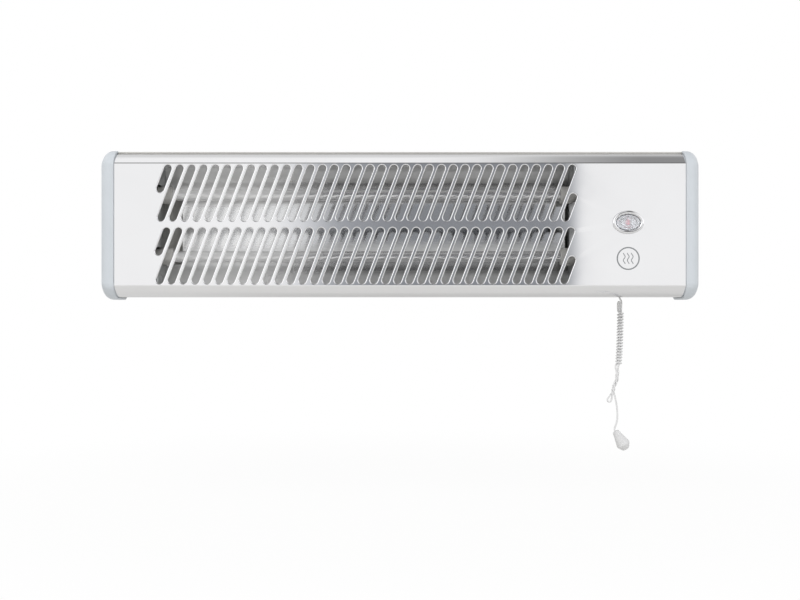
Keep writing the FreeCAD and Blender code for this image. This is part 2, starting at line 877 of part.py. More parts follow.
def wire_routes():
    """The inner wires as points along their routes, from what they start on to what they end on."""
    bore_depth = wire_passage_depth
    block_top = terminal_z + terminal_height / 2
    block_foot = terminal_z - terminal_height / 2
    blade_top = switch_top - switch_wall + blade_height
    blade_x = blade_places()
    pole_x = pole_places()
    right_x = grille_centre_x + ceramic_end
    left_x = grille_centre_x - ceramic_end
    tube_z = tube_spacing / 2
    return [
        # from the switch to the upper tube
        [
            at(blade_x[0], cord_depth, blade_top),
            at(blade_x[0], cord_depth, tube_z - 10),
            at(right_x + 13, tube_depth, tube_z),
            at(right_x, tube_depth, tube_z),
        ],
        # from the switch to the lower tube
        [
            at(blade_x[1], cord_depth, blade_top),
            at(blade_x[1], cord_depth, blade_top + 10),
            at(right_x + 13, tube_depth, -tube_z),
            at(right_x, tube_depth, -tube_z),
        ],
        # from the terminal block to the switch
        [
            at(pole_x[2], bore_depth, block_foot),
            at(pole_x[2], bore_depth, block_foot - 15),
            at(blade_x[2], cord_depth, blade_top + 14),
            at(blade_x[2], cord_depth, blade_top),
        ],
        # from the terminal block behind the reflector to the upper tube's far end
        [
            at(pole_x[1], bore_depth, block_top),
            at(pole_x[1], bore_depth, wire_passage_z),
            at(left_x - 10, bore_depth, wire_passage_z),
            at(left_x - 10, tube_depth, tube_z + ceramic_radius / 3),
            at(left_x, tube_depth, tube_z + ceramic_radius / 3),
        ],
        # from the upper tube to the lower tube at the far end
        [
            at(left_x, tube_depth, tube_z - ceramic_radius / 3),
            at(left_x - 8, tube_depth, tube_z - ceramic_radius / 3),
            at(left_x - 8, tube_depth, ceramic_radius / 3 - tube_z),
            at(left_x, tube_depth, ceramic_radius / 3 - tube_z),
        ],
    ]


def inner_wires():
    """The hidden wires, as straight runs."""
    wires = []
    for points in wire_routes():
        direction = (points[1] - points[0]).normalize()
        wires.append(faceted_tube(Part.makePolygon(points).Edges, points[0], direction, wire_diameter, True))
    return Part.makeCompound(wires)


# Wall bracket and tilting pivot
def ear_outline(base_y, tip_y, half_height, shoulder_y):
    """An ear seen from the side, wide at its base and round at the pivot."""
    points = [
        Vector(0, base_y, -half_height),
        Vector(0, shoulder_y, -half_height),
        Vector(0, tip_y, -ear_radius),
        Vector(0, tip_y, ear_radius),
        Vector(0, shoulder_y, half_height),
        Vector(0, base_y, half_height),
    ]
    tip_radius = ear_radius * 0.75
    return faceted_face(points, [0, 0, tip_radius, tip_radius, 0, 0])


def pivot_hole(x0, x1, radius):
    return rod(Vector(x0, pivot_y, 0), Vector(x1, pivot_y, 0), radius)


def screw_hole(x0, x1):
    """A hole of few sides round the pivot screws, for what doesn't turn on them."""
    radius = (pivot_radius + pivot_play) / math.cos(math.pi / bar_sides)
    return round_bar(Vector(x0, pivot_y, 0), X_AXIS * (x1 - x0), radius)


def wall_bracket():
    """A bent strip with a slotted wall hole at each side and an ear at each end."""
    half = bracket_half
    tip_y = pivot_y - ear_radius
    points = [(half, tip_y), (half, 0), (-half, 0), (-half, tip_y)]
    radii = [0, bracket_bend_radius, bracket_bend_radius, 0]
    low = -bracket_height / 2
    face = sheet_face(points, radii, bracket_sheet, lambda x, y: Vector(x, y, low))
    strip = face.extrude(Z_AXIS * bracket_height)
    side = ear_outline(0, tip_y, bracket_height / 2, -bracket_shoulder)
    strip = strip.common(along_x(side, -half, half))
    tools = [screw_hole(-half - 1, half + 1)]
    for end in (-1, 1):
        centre = Vector(end * wall_screw_spacing / 2, -bracket_sheet - 1, 0)
        run = (wall_slot_length - wall_slot_width) / 2
        slot = obround(centre, run, wall_slot_width / 2, math.pi / 2)
        tools.append(Part.Face(slot).extrude(Y_AXIS * (bracket_sheet + 2)))
    return strip.cut(Part.makeCompound(tools))


def hinge_lug_right():
    """A bent plate on the casing's back whose ear turns on the pivot."""
    outer = lug_outer_x
    tip_y = pivot_y + ear_radius
    points = [(outer - lug_base, casing_back_y), (outer, casing_back_y), (outer, tip_y)]
    low = -lug_height / 2
    face = sheet_face(points, [0, lug_bend_radius, 0], lug_sheet, lambda x, y: Vector(x, y, low))
    plate = face.extrude(Z_AXIS * lug_height)
    shoulder_y = casing_back_y + lug_sheet + 2
    side = ear_outline(casing_back_y, tip_y, lug_height / 2, shoulder_y)
    plate = plate.common(along_x(side, outer - lug_base, outer))
    return plate.cut(pivot_hole(outer - lug_base, outer + 1, pivot_radius + pivot_play))


def pivot_nuts():
    """The hexagon nuts inside the lugs."""
    x1 = lug_outer_x - lug_sheet - fit_gap
    start = Vector(x1 - nut_height, pivot_y, 0)
    nut = polygon_bar(start, X_AXIS * nut_height, [nut_across_corners / 2] * 6)
    return both_sides(nut.cut(screw_hole(x1 - nut_height - 1, x1 + 1)))


def tilt_screws():
    """The clamping screws of the pivots, each with a lobed knob moulded on."""
    hub = bracket_half + fit_gap
    grip = hub + knob_hub_length
    tip = lug_outer_x - lug_sheet - fit_gap - nut_height - screw_past_nut
    lobes = [knob_radius, knob_radius - knob_waist] * knob_lobes
    knob = polygon_bar(Vector(grip, pivot_y, 0), X_AXIS * knob_grip, lobes)
    knob = knob.fuse(round_bar(Vector(hub, pivot_y, 0), X_AXIS * knob_hub_length, knob_hub_radius))
    return both_sides(knob.fuse(pivot_hole(tip, hub, pivot_radius)).removeSplitter())


# Hanging pull cord
def below_exit(side, back, up):
    """A place given from where the cord leaves the casing."""
    return Vector(cord_x + side, cord_y + back, cord_exit_z + up)


def below_wraps(side, back, up):
    """A place given from where the wraps of the hank end."""
    return below_exit(side, back, up - twist_drop)


def core_side(drop):
    """Sideways place of the hank's middle line at a drop below the exit."""
    span = twist_drop - hank_top_drop
    share = max(0.0, min(drop, twist_drop) - hank_top_drop) / span
    place = hank_side - hank_lean * share**2.5
    past = max(0.0, drop - twist_drop) / twist_length
    slope = 2.5 * hank_lean / span * twist_length / twist_side
    return place - twist_side * (slope * past + (1 - slope) * past**2)


def core_frame(drop):
    """The middle line's place, its direction down and the direction square to it."""
    step = 0.01
    slope = (core_side(drop + step) - core_side(drop - step)) / (2 * step)
    down = Vector(slope, 0, -1).normalize()
    across = Vector(1, 0, slope).normalize()
    return below_exit(core_side(drop), 0, -drop), down, across


def strand_place(drop, sign):
    """A place on one of the two core strands, which twist round each other at their lower end."""
    middle, _, across = core_frame(drop)
    past = max(0.0, drop - twist_drop) / twist_length
    turn = math.radians(core_angle + twist_angle * past**1.5)
    half = core_half + twist_spread * past
    offset = (across * math.cos(turn) + Y_AXIS * math.sin(turn)) * (half * sign)
    if sign > 0:
        near_top = max(0.0, min(1.0, (wrap_start_drop - drop) / (wrap_start_drop - bight_drop)))
        offset.y += (lead_set_back - core_half * math.sin(turn)) * near_top
    return middle + offset


def wound_place(drop, turn, radius):
    """A place on the wraps round the core."""
    middle, _, across = core_frame(drop)
    return middle + (across * math.cos(turn) + Y_AXIS * math.sin(turn)) * radius


def stations_along(place, values):
    """Places and directions along a line given by a function."""
    step = 1e-3
    rising = 1 if values[-1] > values[0] else -1
    stations = []
    for value in values:
        ahead = place(value + step * rising)
        behind = place(value - step * rising)
        stations.append((place(value), (ahead - behind).normalize()))
    return stations


def hank_stations():
    """The whole hank in order: down strand, eye, up strand, top bight, wraps and way out."""
    twist_end = twist_drop + twist_length
    straight = [hank_top_drop + (twist_drop - hank_top_drop) * i / 4 for i in range(5)]
    twisted = [twist_drop + twist_length * i / 6 for i in range(1, 7)]
    stations = stations_along(lambda drop: strand_place(drop, 1), straight + twisted)
    middle, down, across = core_frame(twist_end)
    stations[-1] = (strand_place(twist_end, 1), down)
    stations.append((middle + down * eye_length + across * eye_half_width, down))
    stations.append((middle + down * (eye_length + eye_half_width), across * -1))
    stations.append((middle + down * eye_length - across * eye_half_width, down * -1))
    rising = twisted[::-1] + straight[:0:-1] + [bight_drop]
    up_strand = stations_along(lambda drop: strand_place(drop, -1), rising)
    up_strand[0] = (up_strand[0][0], down * -1)
    up_strand[-1] = (up_strand[-1][0], Z_AXIS)
    stations += up_strand
    foot = up_strand[-1][0]
    stations.append((foot + Vector(bight_radius, 0, bight_radius), X_AXIS))
    stations.append((foot + Vector(2 * bight_radius, 0, 0), Z_AXIS * -1))
    descent = foot + Vector(2 * bight_radius, 0, bight_drop - wrap_down_drop)
    stations.append((descent, Z_AXIS * -1))
    return stations + wrap_stations(descent)


def wrap_stations(descent):
    """The run into the wraps, the wraps at half a turn each, and the straight way out."""
    run_in = math.radians(wrap_run_in)
    middle, _, _ = core_frame(wrap_down_drop)
    first_turn = math.atan2(descent.y - middle.y, descent.x - middle.x)
    first_radius = math.hypot(descent.y - middle.y, descent.x - middle.x)
    rate = wrap_pitch / (2 * math.pi)
    fall = wrap_start_drop - wrap_down_drop
    ease = 2 * run_in * rate - fall

    def easing(share):
        return (fall - ease) * share + ease * share**2

    def lead_in(share):
        grown = 3 * share**2 - 2 * share**3
        radius = first_radius + (wrap_radius - first_radius) * grown
        return wound_place(wrap_down_drop + easing(share), first_turn + run_in * share**2, radius)

    start_turn = first_turn + run_in
    end_turn = start_turn + 2 * math.pi * wrap_turns
    end_drop = wrap_start_drop + wrap_pitch * wrap_turns

    def winding(turn):
        return wound_place(wrap_start_drop + rate * (turn - start_turn), turn, wrap_radius)

    def lead_out(share):
        left = 1 - share
        drop = end_drop + fall - easing(left)
        return wound_place(drop, end_turn + run_in - run_in * left**2, wrap_radius)

    halves = math.ceil(wrap_turns * 2)
    turns = [start_turn + (end_turn - start_turn) * i / halves for i in range(halves + 1)]
    stations = stations_along(lead_in, [0.35, 0.65, 0.85])
    stations += stations_along(winding, turns)
    stations += stations_along(lead_out, [0.15, 0.35, 0.65])
    last = lead_out(1.0)
    stations.append((last, Z_AXIS * -1))
    stations.append((last - Z_AXIS * cord_diameter, Z_AXIS * -1))
    return stations


def station_edges(stations):
    edges = []
    for (p0, t0), (p1, t1) in zip(stations, stations[1:]):
        edges += biarc(p0, t0, p1, t1)
    return edges


def least_gap(edges, diameter):
    """The least clear distance between stretches of a cord that aren't neighbours along it."""
    step = 0.4
    apart = int(3 * diameter / step)
    points = []
    for edge in edges:
        count = max(1, round(edge.Length / step))
        span = edge.LastParameter - edge.FirstParameter
        points += [edge.valueAt(edge.FirstParameter + span * i / count) for i in range(count)]
    least = 1e9
    for i, p in enumerate(points):
        for q in points[i + apart :]:
            least = min(least, (p.x - q.x) ** 2 + (p.y - q.y) ** 2 + (p.z - q.z) ** 2)
    return math.sqrt(least) - diameter


def pull_cord_lead(hank_start):
    start = below_exit(0, 0, 0)
    edges = biarc(start, Z_AXIS * -1, *hank_start)
    return faceted_tube(edges, start, Z_AXIS * -1, cord_diameter)


def pull_cord_hank(stations):
    edges = station_edges(stations)
    hank = faceted_tube(edges, stations[0][0], stations[0][1], cord_diameter)
    length = sum(edge.Length for edge in edges)
    print("hank: length", round(length, 1), "least gap to itself", round(least_gap(edges, cord_diameter), 3))
    print("hank: volume", round(hank.Volume, 1), "section times length",
          round(section_area(cord_diameter) * length, 1))
    return hank


def pull_cord_tail(hank_end):
    points = [hank_end] + [below_wraps(*p) for p in tail_points] + [below_wraps(*pull_place)]
    tail, radii, length = cord_along(points, cord_diameter)
    print("tail: length", round(length, 1), "radii", [round(r, 1) for r in radii])
    print("tail: volume", round(tail.Volume, 1), "section times length",
          round(section_area(cord_diameter) * length, 1))
    return tail


def cord_pull():
    """The acorn-shaped pull on the end of the cord, through rings of few sides."""
    tilt = math.radians(pull_tilt)
    axis = Vector(math.sin(tilt), 0, -math.cos(tilt))
    across = Vector(math.cos(tilt), 0, math.sin(tilt))
    top = below_wraps(*pull_place)
    rings = [
        (0, pull_top_radius - pull_edge),
        (pull_edge, pull_top_radius),
        (pull_belly_length - pull_edge, pull_belly_radius - pull_edge / 3),
        (pull_belly_length + pull_edge, pull_belly_radius - pull_edge / 3),
        (pull_length - pull_edge, pull_foot_radius + pull_edge / 3),
        (pull_length, pull_foot_radius - pull_edge),
    ]
    loops = []
    for along, radius in rings:
        loop = []
        for i in range(pull_sides):
            turn = 2 * math.pi * i / pull_sides
            spoke = across * math.cos(turn) + Y_AXIS * math.sin(turn)
            loop.append(top + axis * along + spoke * radius)
        loops.append(loop)
    outlines = [loops[0], loops[-1]]
    for upper, lower in zip(loops, loops[1:]):
        for i in range(pull_sides):
            outlines.append([upper[i - 1], upper[i], lower[i], lower[i - 1]])
    faces = [Part.Face(Part.makePolygon(outline + outline[:1])) for outline in outlines]
    solid = Part.Solid(Part.Shell(faces))
    solid.fixTolerance(1e-6)
    if solid.Volume < 0:
        solid.reverse()
    return solid


def make_nodes():
    """Every piece of the heater by its name."""
    stations = hank_stations()
    nodes = {
        "wall_bracket": wall_bracket(),
        "tilt_screws": tilt_screws(),
        "pivot_nuts": pivot_nuts(),
        "hinge_lug_right": hinge_lug_right(),
        "hinge_lug_left": mirrored(hinge_lug_right()),
        "front_grille": front_grille(),
        "rear_casing": rear_casing(),
        "end_caps": both_sides(end_cap_right()),
        "tube_bracket_left": tube_bracket(-1),
        "tube_bracket_right": tube_bracket(1),
        "reflector": reflector(),
        "quartz_tube_upper": quartz_tube(1),
        "quartz_tube_lower": quartz_tube(-1),
        "heating_coil_upper": heating_coil(1),
        "heating_coil_lower": heating_coil(-1),
        "tube_ceramics": tube_ceramics(),
        "lamp_bezel": lamp_bezel(),
        "lamp_lens": lamp_lens(),
        "neon_lamp": neon_lamp(),
        "lamp_holder": lamp_holder(),
        "switch_housing": switch_housing(),
        "switch_cover": switch_cover(),
        "switch_blades": switch_blades(),
        "return_spring": return_spring(),
        "switch_drum": switch_drum(),
        "cord_eyelet": cord_eyelet(),
        "switch_cord": switch_cord(),
        "cable_gland": cable_gland(),
        "terminal_block": terminal_block(),
        "inner_wires": inner_wires(),
        "pull_cord_lead": pull_cord_lead(stations[0]),
        "pull_cord_hank": pull_cord_hank(stations),
        "pull_cord_tail": pull_cord_tail(stations[-1][0]),
        "cord_pull": cord_pull(),
    }
    return nodes


os.makedirs("parts", exist_ok=True)
for node_name, shape in make_nodes().items():
    if not shape.isValid():
        print("not valid:", node_name)
    shape.exportStep("parts/" + node_name + ".step")
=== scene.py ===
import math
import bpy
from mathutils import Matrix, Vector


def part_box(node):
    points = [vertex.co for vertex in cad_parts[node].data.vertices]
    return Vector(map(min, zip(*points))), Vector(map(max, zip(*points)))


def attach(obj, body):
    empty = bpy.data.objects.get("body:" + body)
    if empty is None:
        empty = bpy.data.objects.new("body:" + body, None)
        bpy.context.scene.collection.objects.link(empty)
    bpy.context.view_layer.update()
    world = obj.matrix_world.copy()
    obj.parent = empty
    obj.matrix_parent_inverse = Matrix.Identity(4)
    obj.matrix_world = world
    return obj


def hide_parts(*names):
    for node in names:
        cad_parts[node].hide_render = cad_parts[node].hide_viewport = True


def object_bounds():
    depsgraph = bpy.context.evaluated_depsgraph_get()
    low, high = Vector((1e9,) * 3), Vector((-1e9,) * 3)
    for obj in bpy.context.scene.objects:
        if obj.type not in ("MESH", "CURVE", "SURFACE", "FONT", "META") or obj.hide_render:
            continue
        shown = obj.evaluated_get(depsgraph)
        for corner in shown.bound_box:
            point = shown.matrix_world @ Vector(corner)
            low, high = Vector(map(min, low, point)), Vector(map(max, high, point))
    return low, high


bl_info = {
    "name": "Infrared bathroom heater",
    "version": (1, 0, 0),
    "blender": (4, 5, 0),
    "location": "View3D > Sidebar > Heater",
    "description": "Looks of a wall-mounted quartz heater around its packed model",
    "category": "Object",
}

import bmesh
import bpy
from bpy.props import FloatProperty, FloatVectorProperty, IntProperty, PointerProperty
from mathutils import Matrix, Vector

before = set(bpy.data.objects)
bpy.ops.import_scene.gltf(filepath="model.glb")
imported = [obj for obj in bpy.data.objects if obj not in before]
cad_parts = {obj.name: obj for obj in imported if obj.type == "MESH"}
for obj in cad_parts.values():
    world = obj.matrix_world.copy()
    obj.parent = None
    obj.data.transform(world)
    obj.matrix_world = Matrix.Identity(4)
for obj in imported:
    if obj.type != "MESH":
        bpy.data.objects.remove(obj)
cad_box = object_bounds()

MM = 0.001
FRONT_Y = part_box("front_grille")[0].y
PANEL_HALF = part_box("front_grille")[1].x
HALF_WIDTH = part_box("end_caps")[1].x
LAMP_LOW, LAMP_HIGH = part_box("lamp_bezel")
LAMP_X = (LAMP_LOW.x + LAMP_HIGH.x) / 2
LAMP_Z = (LAMP_LOW.z + LAMP_HIGH.z) / 2
# thickness of the panel's and the reflector's sheet
SHEET = 0.5 * MM


# Sizes and colours that a user may change
class HeaterSizes(bpy.types.PropertyGroup):
    """Sizes of the heater's visible pieces"""

    slot_pitch: FloatProperty(
        name="Slot pitch", description="Distance between slots", default=10.71 * MM, unit="LENGTH"
    )
    slot_count: IntProperty(name="Slots", description="Full slots in a row", default=34)
    slot_lean: FloatProperty(
        name="Slot lean", description="Lean of the slots", default=math.radians(20.8), unit="ROTATION"
    )
    slot_radius: FloatProperty(
        name="Slot radius", description="Half the clear width of a slot", default=3.25 * MM, unit="LENGTH"
    )
    slot_rim: FloatProperty(
        name="Slot rim", description="Radius of the rolled rim", default=0.9 * MM, unit="LENGTH"
    )
    grille_x: FloatProperty(
        name="Grille middle", description="Middle of the slot rows", default=-30.6 * MM, unit="LENGTH"
    )
    row_shift: FloatProperty(
        name="Row shift", description="How far the upper row lies to the right of the grille's middle",
        default=0.64 * MM, unit="LENGTH"
    )
    row_z: FloatProperty(
        name="Row height", description="Height of the upper row's middle", default=28.3 * MM, unit="LENGTH"
    )
    row_half: FloatProperty(
        name="Row half height", description="Half the height of a row", default=26.2 * MM, unit="LENGTH"
    )
    cord_diameter: FloatProperty(
        name="Cord", description="Diameter of the pull cord", default=1.6 * MM, unit="LENGTH"
    )
    mark_radius: FloatProperty(
        name="Mark", description="Radius of the printed ring", default=9.8 * MM, unit="LENGTH"
    )


class HeaterColours(bpy.types.PropertyGroup):
    """Colours of the heater's finishes"""

    polished: FloatVectorProperty(
        name="Polished steel", description="Front panel", subtype="COLOR", default=(0.86, 0.86, 0.87)
    )
    cap: FloatVectorProperty(
        name="End caps", description="Moulded caps", subtype="COLOR", default=(0.598, 0.635, 0.672)
    )
    casing: FloatVectorProperty(
        name="Casing", description="Painted casing", subtype="COLOR", default=(0.62, 0.61, 0.58)
    )
    cord: FloatVectorProperty(
        name="Cord", description="Braided cord", subtype="COLOR", default=(0.765, 0.765, 0.77)
    )
    pull: FloatVectorProperty(
        name="Pull", description="Moulded pull", subtype="COLOR", default=(0.715, 0.715, 0.72)
    )
    print_grey: FloatVectorProperty(
        name="Print", description="Printed mark", subtype="COLOR", default=(0.24, 0.25, 0.26)
    )


# Nodes
def link(tree, source, target):
    tree.links.new(source, target)


def add_node(tree, kind, inputs=None, **settings):
    """A new node with its settings, and with inputs set to values or linked to sockets."""
    node = tree.nodes.new(kind)
    for name, value in settings.items():
        setattr(node, name, value)
    for name, value in (inputs or {}).items():
        if isinstance(value, bpy.types.NodeSocket):
            link(tree, value, node.inputs[name])
        else:
            node.inputs[name].default_value = value
    return node


def new_group(name, kind, inputs, outputs):
    """A new node group with named sockets, and its input and output nodes."""
    group = bpy.data.node_groups.new(name, kind)
    for in_out, sockets in (("INPUT", inputs), ("OUTPUT", outputs)):
        for label, socket_kind in sockets.items():
            group.interface.new_socket(label, in_out=in_out, socket_type="NodeSocket" + socket_kind)
    return group, group.nodes.new("NodeGroupInput"), group.nodes.new("NodeGroupOutput")


def mixed(tree, share, first, second):
    """A colour between two, each given as a value or a socket."""
    inputs = {"Factor": share, "A": first, "B": second}
    return add_node(tree, "ShaderNodeMix", inputs, data_type="RGBA").outputs["Result"]


def level(value):
    """A grey colour of a level, which also sets a plain value."""
    return (value, value, value, 1)


def object_place(tree):
    """Object coordinates as X, Y and Z."""
    place = add_node(tree, "ShaderNodeTexCoord")
    return add_node(tree, "ShaderNodeSeparateXYZ", {"Vector": place.outputs["Object"]}).outputs


# Shader groups and finishes
def object_noise(group, scale, detail):
    """Noise on object coordinates inside a group."""
    place = add_node(group, "ShaderNodeTexCoord")
    inputs = {"Vector": place.outputs["Object"], "Scale": scale, "Detail": detail}
    return add_node(group, "ShaderNodeTexNoise", inputs).outputs["Fac"]


def make_uneven_group():
    """A value that wanders between two limits over the surface."""
    sockets = {"Scale": "Float", "Low": "Float", "High": "Float"}
    group, given, result = new_group("uneven value", "ShaderNodeTree", sockets, {"Value": "Float"})
    inputs = {
        "Value": object_noise(group, given.outputs["Scale"], detail=4.0),
        "From Min": 0.3,
        "From Max": 0.7,
        "To Min": given.outputs["Low"],
        "To Max": given.outputs["High"],
    }
    spread = add_node(group, "ShaderNodeMapRange", inputs)
    link(group, spread.outputs["Result"], result.inputs["Value"])
    return group


def make_shade_group():
    """A colour that drifts towards a second one in soft patches."""
    sockets = {"Colour": "Color", "Patch": "Color", "Scale": "Float"}
    group, given, result = new_group("soft patches", "ShaderNodeTree", sockets, {"Colour": "Color"})
    noise = object_noise(group, given.outputs["Scale"], detail=5.0)
    spread = add_node(group, "ShaderNodeMapRange", {"Value": noise, "From Min": 0.42, "From Max": 0.75})
    shade = mixed(group, spread.outputs["Result"], given.outputs["Colour"], given.outputs["Patch"])
    link(group, shade, result.inputs["Colour"])
    return group


def make_grain_group():
    """The height of a fine grain."""
    group, given, result = new_group("fine grain", "ShaderNodeTree", {"Scale": "Float"}, {"Height": "Float"})
    link(group, object_noise(group, given.outputs["Scale"], detail=3.0), result.inputs["Height"])
    return group


GROUP_MAKERS = {
    "uneven value": make_uneven_group,
    "soft patches": make_shade_group,
    "fine grain": make_grain_group,
}
GRAIN_DEPTH = 0.2 * MM


def place_group(tree, name, values):
    """The result of a shared group, placed in a tree with its own values."""
    group = bpy.data.node_groups.get(name) or GROUP_MAKERS[name]()
    return add_node(tree, "ShaderNodeGroup", values, node_tree=group).outputs[0]


def node_material(name):
    """A new material, its tree and its shader."""
    material = bpy.data.materials.new(name)
    material.use_nodes = True
    return material, material.node_tree, shader_of(material)


def shader_of(material):
    return material.node_tree.nodes["Principled BSDF"]


def uneven(tree, low, high, scale=60.0):
    return place_group(tree, "uneven value", {"Scale": scale, "Low": low, "High": high})


def finish(name, colour, patch, rough, metallic=0.0, grain=None, patch_scale=30.0, rough_scale=60.0):
    """A finish with drifting colour, uneven roughness and, where given, a fine grain."""
    material, tree, shader = node_material(name)
    shader.inputs["Metallic"].default_value = metallic
    patches = {"Colour": (*colour, 1), "Patch": (*patch, 1), "Scale": patch_scale}
    link(tree, place_group(tree, "soft patches", patches), shader.inputs["Base Color"])
    link(tree, uneven(tree, *rough, rough_scale), shader.inputs["Roughness"])
    if grain:
        scale, strength = grain
        height = place_group(tree, "fine grain", {"Scale": scale})
        inputs = {"Strength": strength, "Distance": GRAIN_DEPTH, "Height": height}
        link(tree, add_node(tree, "ShaderNodeBump", inputs).outputs["Normal"], shader.inputs["Normal"])
    return material


def shaded(colour, share):
    return tuple(value * share for value in colour)


# Meshes
def place_object(name, data):
    """A new object in the scene."""
    item = bpy.data.objects.new(name, data)
    bpy.context.scene.collection.objects.link(item)
    return item


def new_piece(name, mesh, material, body, slot, *replaced):
    """A finished piece that rides on a body and stands for the named CAD nodes."""
    piece = place_object(name, mesh)
    mesh.materials.clear()
    mesh.materials.append(material)
    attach(piece, body)
    if replaced:
        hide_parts(*replaced)
    return piece


def paint_nodes(material, *nodes):
    """CAD nodes keep their shape and get a finish."""
    for node in nodes:
        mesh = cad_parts[node].data
        mesh.materials.clear()
        mesh.materials.append(material)


def plain_mesh(bm, name):
    mesh = bpy.data.meshes.new(name)
    bm.to_mesh(mesh)
    bm.free()
    return mesh


def modified_mesh(carrier):
    """The plain mesh that a carrier's modifiers make. The carrier is removed."""
    bpy.context.view_layer.update()
    depsgraph = bpy.context.evaluated_depsgraph_get()
    mesh = bpy.data.meshes.new_from_object(carrier.evaluated_get(depsgraph))
    bpy.data.objects.remove(carrier)
    return mesh


def finished_mesh(bm, name, thickness=0.0, sharp=40.0):
    """A smooth mesh whose sharp edges and flat faces keep their normals, with a wall if asked."""
    for edge in bm.edges:
        if len(edge.link_faces) == 2 and edge.calc_face_angle() > math.radians(sharp):
            edge.smooth = False
    for face in bm.faces:
        face.smooth = True
    carrier = place_object(name + "_carrier", plain_mesh(bm, name))
    if thickness:
        wall = carrier.modifiers.new("wall", "SOLIDIFY")
        wall.thickness = thickness
        wall.offset = -1
    carrier.modifiers.new("normals", "WEIGHTED_NORMAL").keep_sharp = True
    result = modified_mesh(carrier)
    result.name = name
    return result


def strip(bm, rows, closed_rows=False, closed_loop=True):
    """Faces between rows of points, each row a loop unless it is left open."""
    grid = [[bm.verts.new(p) for p in row] for row in rows]
    pairs = list(zip(grid, grid[1:]))
    if closed_rows:
        pairs.append((grid[-1], grid[0]))
    for upper, lower in pairs:
        count = len(upper)
        for i in range(count if closed_loop else count - 1):
            j = (i + 1) % count
            bm.faces.new((upper[i], upper[j], lower[j], lower[i]))
    return grid


def capped(bm, rows):
    """Faces between loops of points, closed at both ends."""
    grid = strip(bm, rows)
    bm.faces.new(grid[0])
    bm.faces.new(list(reversed(grid[-1])))


def outward(bm):
    bmesh.ops.remove_doubles(bm, verts=bm.verts, dist=1e-7)
    bmesh.ops.recalc_face_normals(bm, faces=bm.faces)


def closed_mesh(name, rows, sharp=40.0):
    """A finished mesh of loops of points with closed ends."""
    bm = bmesh.new()
    capped(bm, rows)
    outward(bm)
    return finished_mesh(bm, name, sharp=sharp)


def at(x, depth, z):
    """A place given by its depth behind the face of the front panel."""
    return Vector((x, FRONT_Y + depth, z))


def ring_turns(count):
    """Angles of points evenly spaced around a ring."""
    return [2 * math.pi * i / count for i in range(count)]


def arc_run(points, radii, closed, steps):
    """A flat run of points with its corners rounded, as (depth, z) points."""
    run = []
    for i, corner in enumerate(points):
        here = Vector(corner)
        if radii[i] <= 0 or (not closed and i in (0, len(points) - 1)):
            run.append(here)
            continue
        back = (Vector(points[i - 1]) - here).normalized()
        ahead = (Vector(points[(i + 1) % len(points)]) - here).normalized()
        half = back.angle(ahead) / 2
        reach = radii[i] / math.tan(half)
        centre = here + (back + ahead).normalized() * (radii[i] / math.sin(half))
        start = here + back * reach - centre
        sweep = start.angle_signed(here + ahead * reach - centre)
        for step in range(steps + 1):
            turn = -sweep * step / steps
            c = math.cos(turn)
            s = math.sin(turn)
            run.append(centre + Vector((start.x * c - start.y * s, start.x * s + start.y * c)))
    return run


# Outline of the casing seen from its end, in millimetres behind the front and above the middle
FLAT_HALF = 55.4
TOP = 65.6
BAND_SLOPE = math.radians(50)
CREASE = 2.0
DEPTH = 60.0
REAR_CORNER = 10.0
LEAST_CORNER = 0.5
# flat stretch between the crease and the band's bend, and how far the flange runs back
BAND_FLAT = 0.2
FLANGE_END = 34.0


def outline_corners(offset):
    """The crease and the bend of the band, moved out by an offset."""
    shoulder = (TOP - FLAT_HALF) / math.tan(BAND_SLOPE)
    nose = FLAT_HALF + offset * math.cos(BAND_SLOPE) / (1 + math.sin(BAND_SLOPE))
    bend = shoulder - offset * math.sin(BAND_SLOPE) / (1 + math.cos(BAND_SLOPE))
    return (-offset, nose), (bend, TOP + offset)


def band_radius(offset, nose_radius):
    """The radius of the bend that uses up the band behind the crease."""
    (d0, z0), (d1, z1) = outline_corners(offset)
    nose_reach = nose_radius * math.tan((math.pi / 2 - BAND_SLOPE) / 2)
    return (math.hypot(d1 - d0, z1 - z0) - nose_reach - BAND_FLAT) / math.tan(BAND_SLOPE / 2)


def outline_loop(x, offset, nose_radius):
    """The casing's whole outline at a place along it, moved out by an offset."""
    nose, bend = outline_corners(offset)
    back = DEPTH + offset
    points = [nose, bend, (back, bend[1]), (back, -bend[1]), (bend[0], -bend[1]), (nose[0], -nose[1])]
    band = band_radius(offset, nose_radius)
    rear = max(REAR_CORNER + offset, LEAST_CORNER)
    outline = arc_run(points, [nose_radius, band, rear, rear, band, nose_radius], True, 10)
    return [at(x, p.x * MM, p.y * MM) for p in outline]


# Front panel with its two rows of slots
RIM_EDGE = 0.12 * MM
RIM_WALL = 0.35 * MM
RIM_STEPS = 7
LAMP_HOLE = (24.0 * MM, 17.0 * MM)


def slot_loop(sizes, centre, run, radius, depth, steps=10):
    """A leaning slot outline with round ends."""
    along = Vector((math.sin(sizes.slot_lean), 0, math.cos(sizes.slot_lean)))
    across = Vector((math.cos(sizes.slot_lean), 0, -math.sin(sizes.slot_lean)))
    points = []
    for sign in (1, -1):
        for i in range(steps + 1):
            turn = math.pi * i / steps
            spoke = along * math.sin(turn) - across * math.cos(turn)
            points.append(centre + Vector((0, depth, 0)) + (along * run + spoke * radius) * sign)
    return points


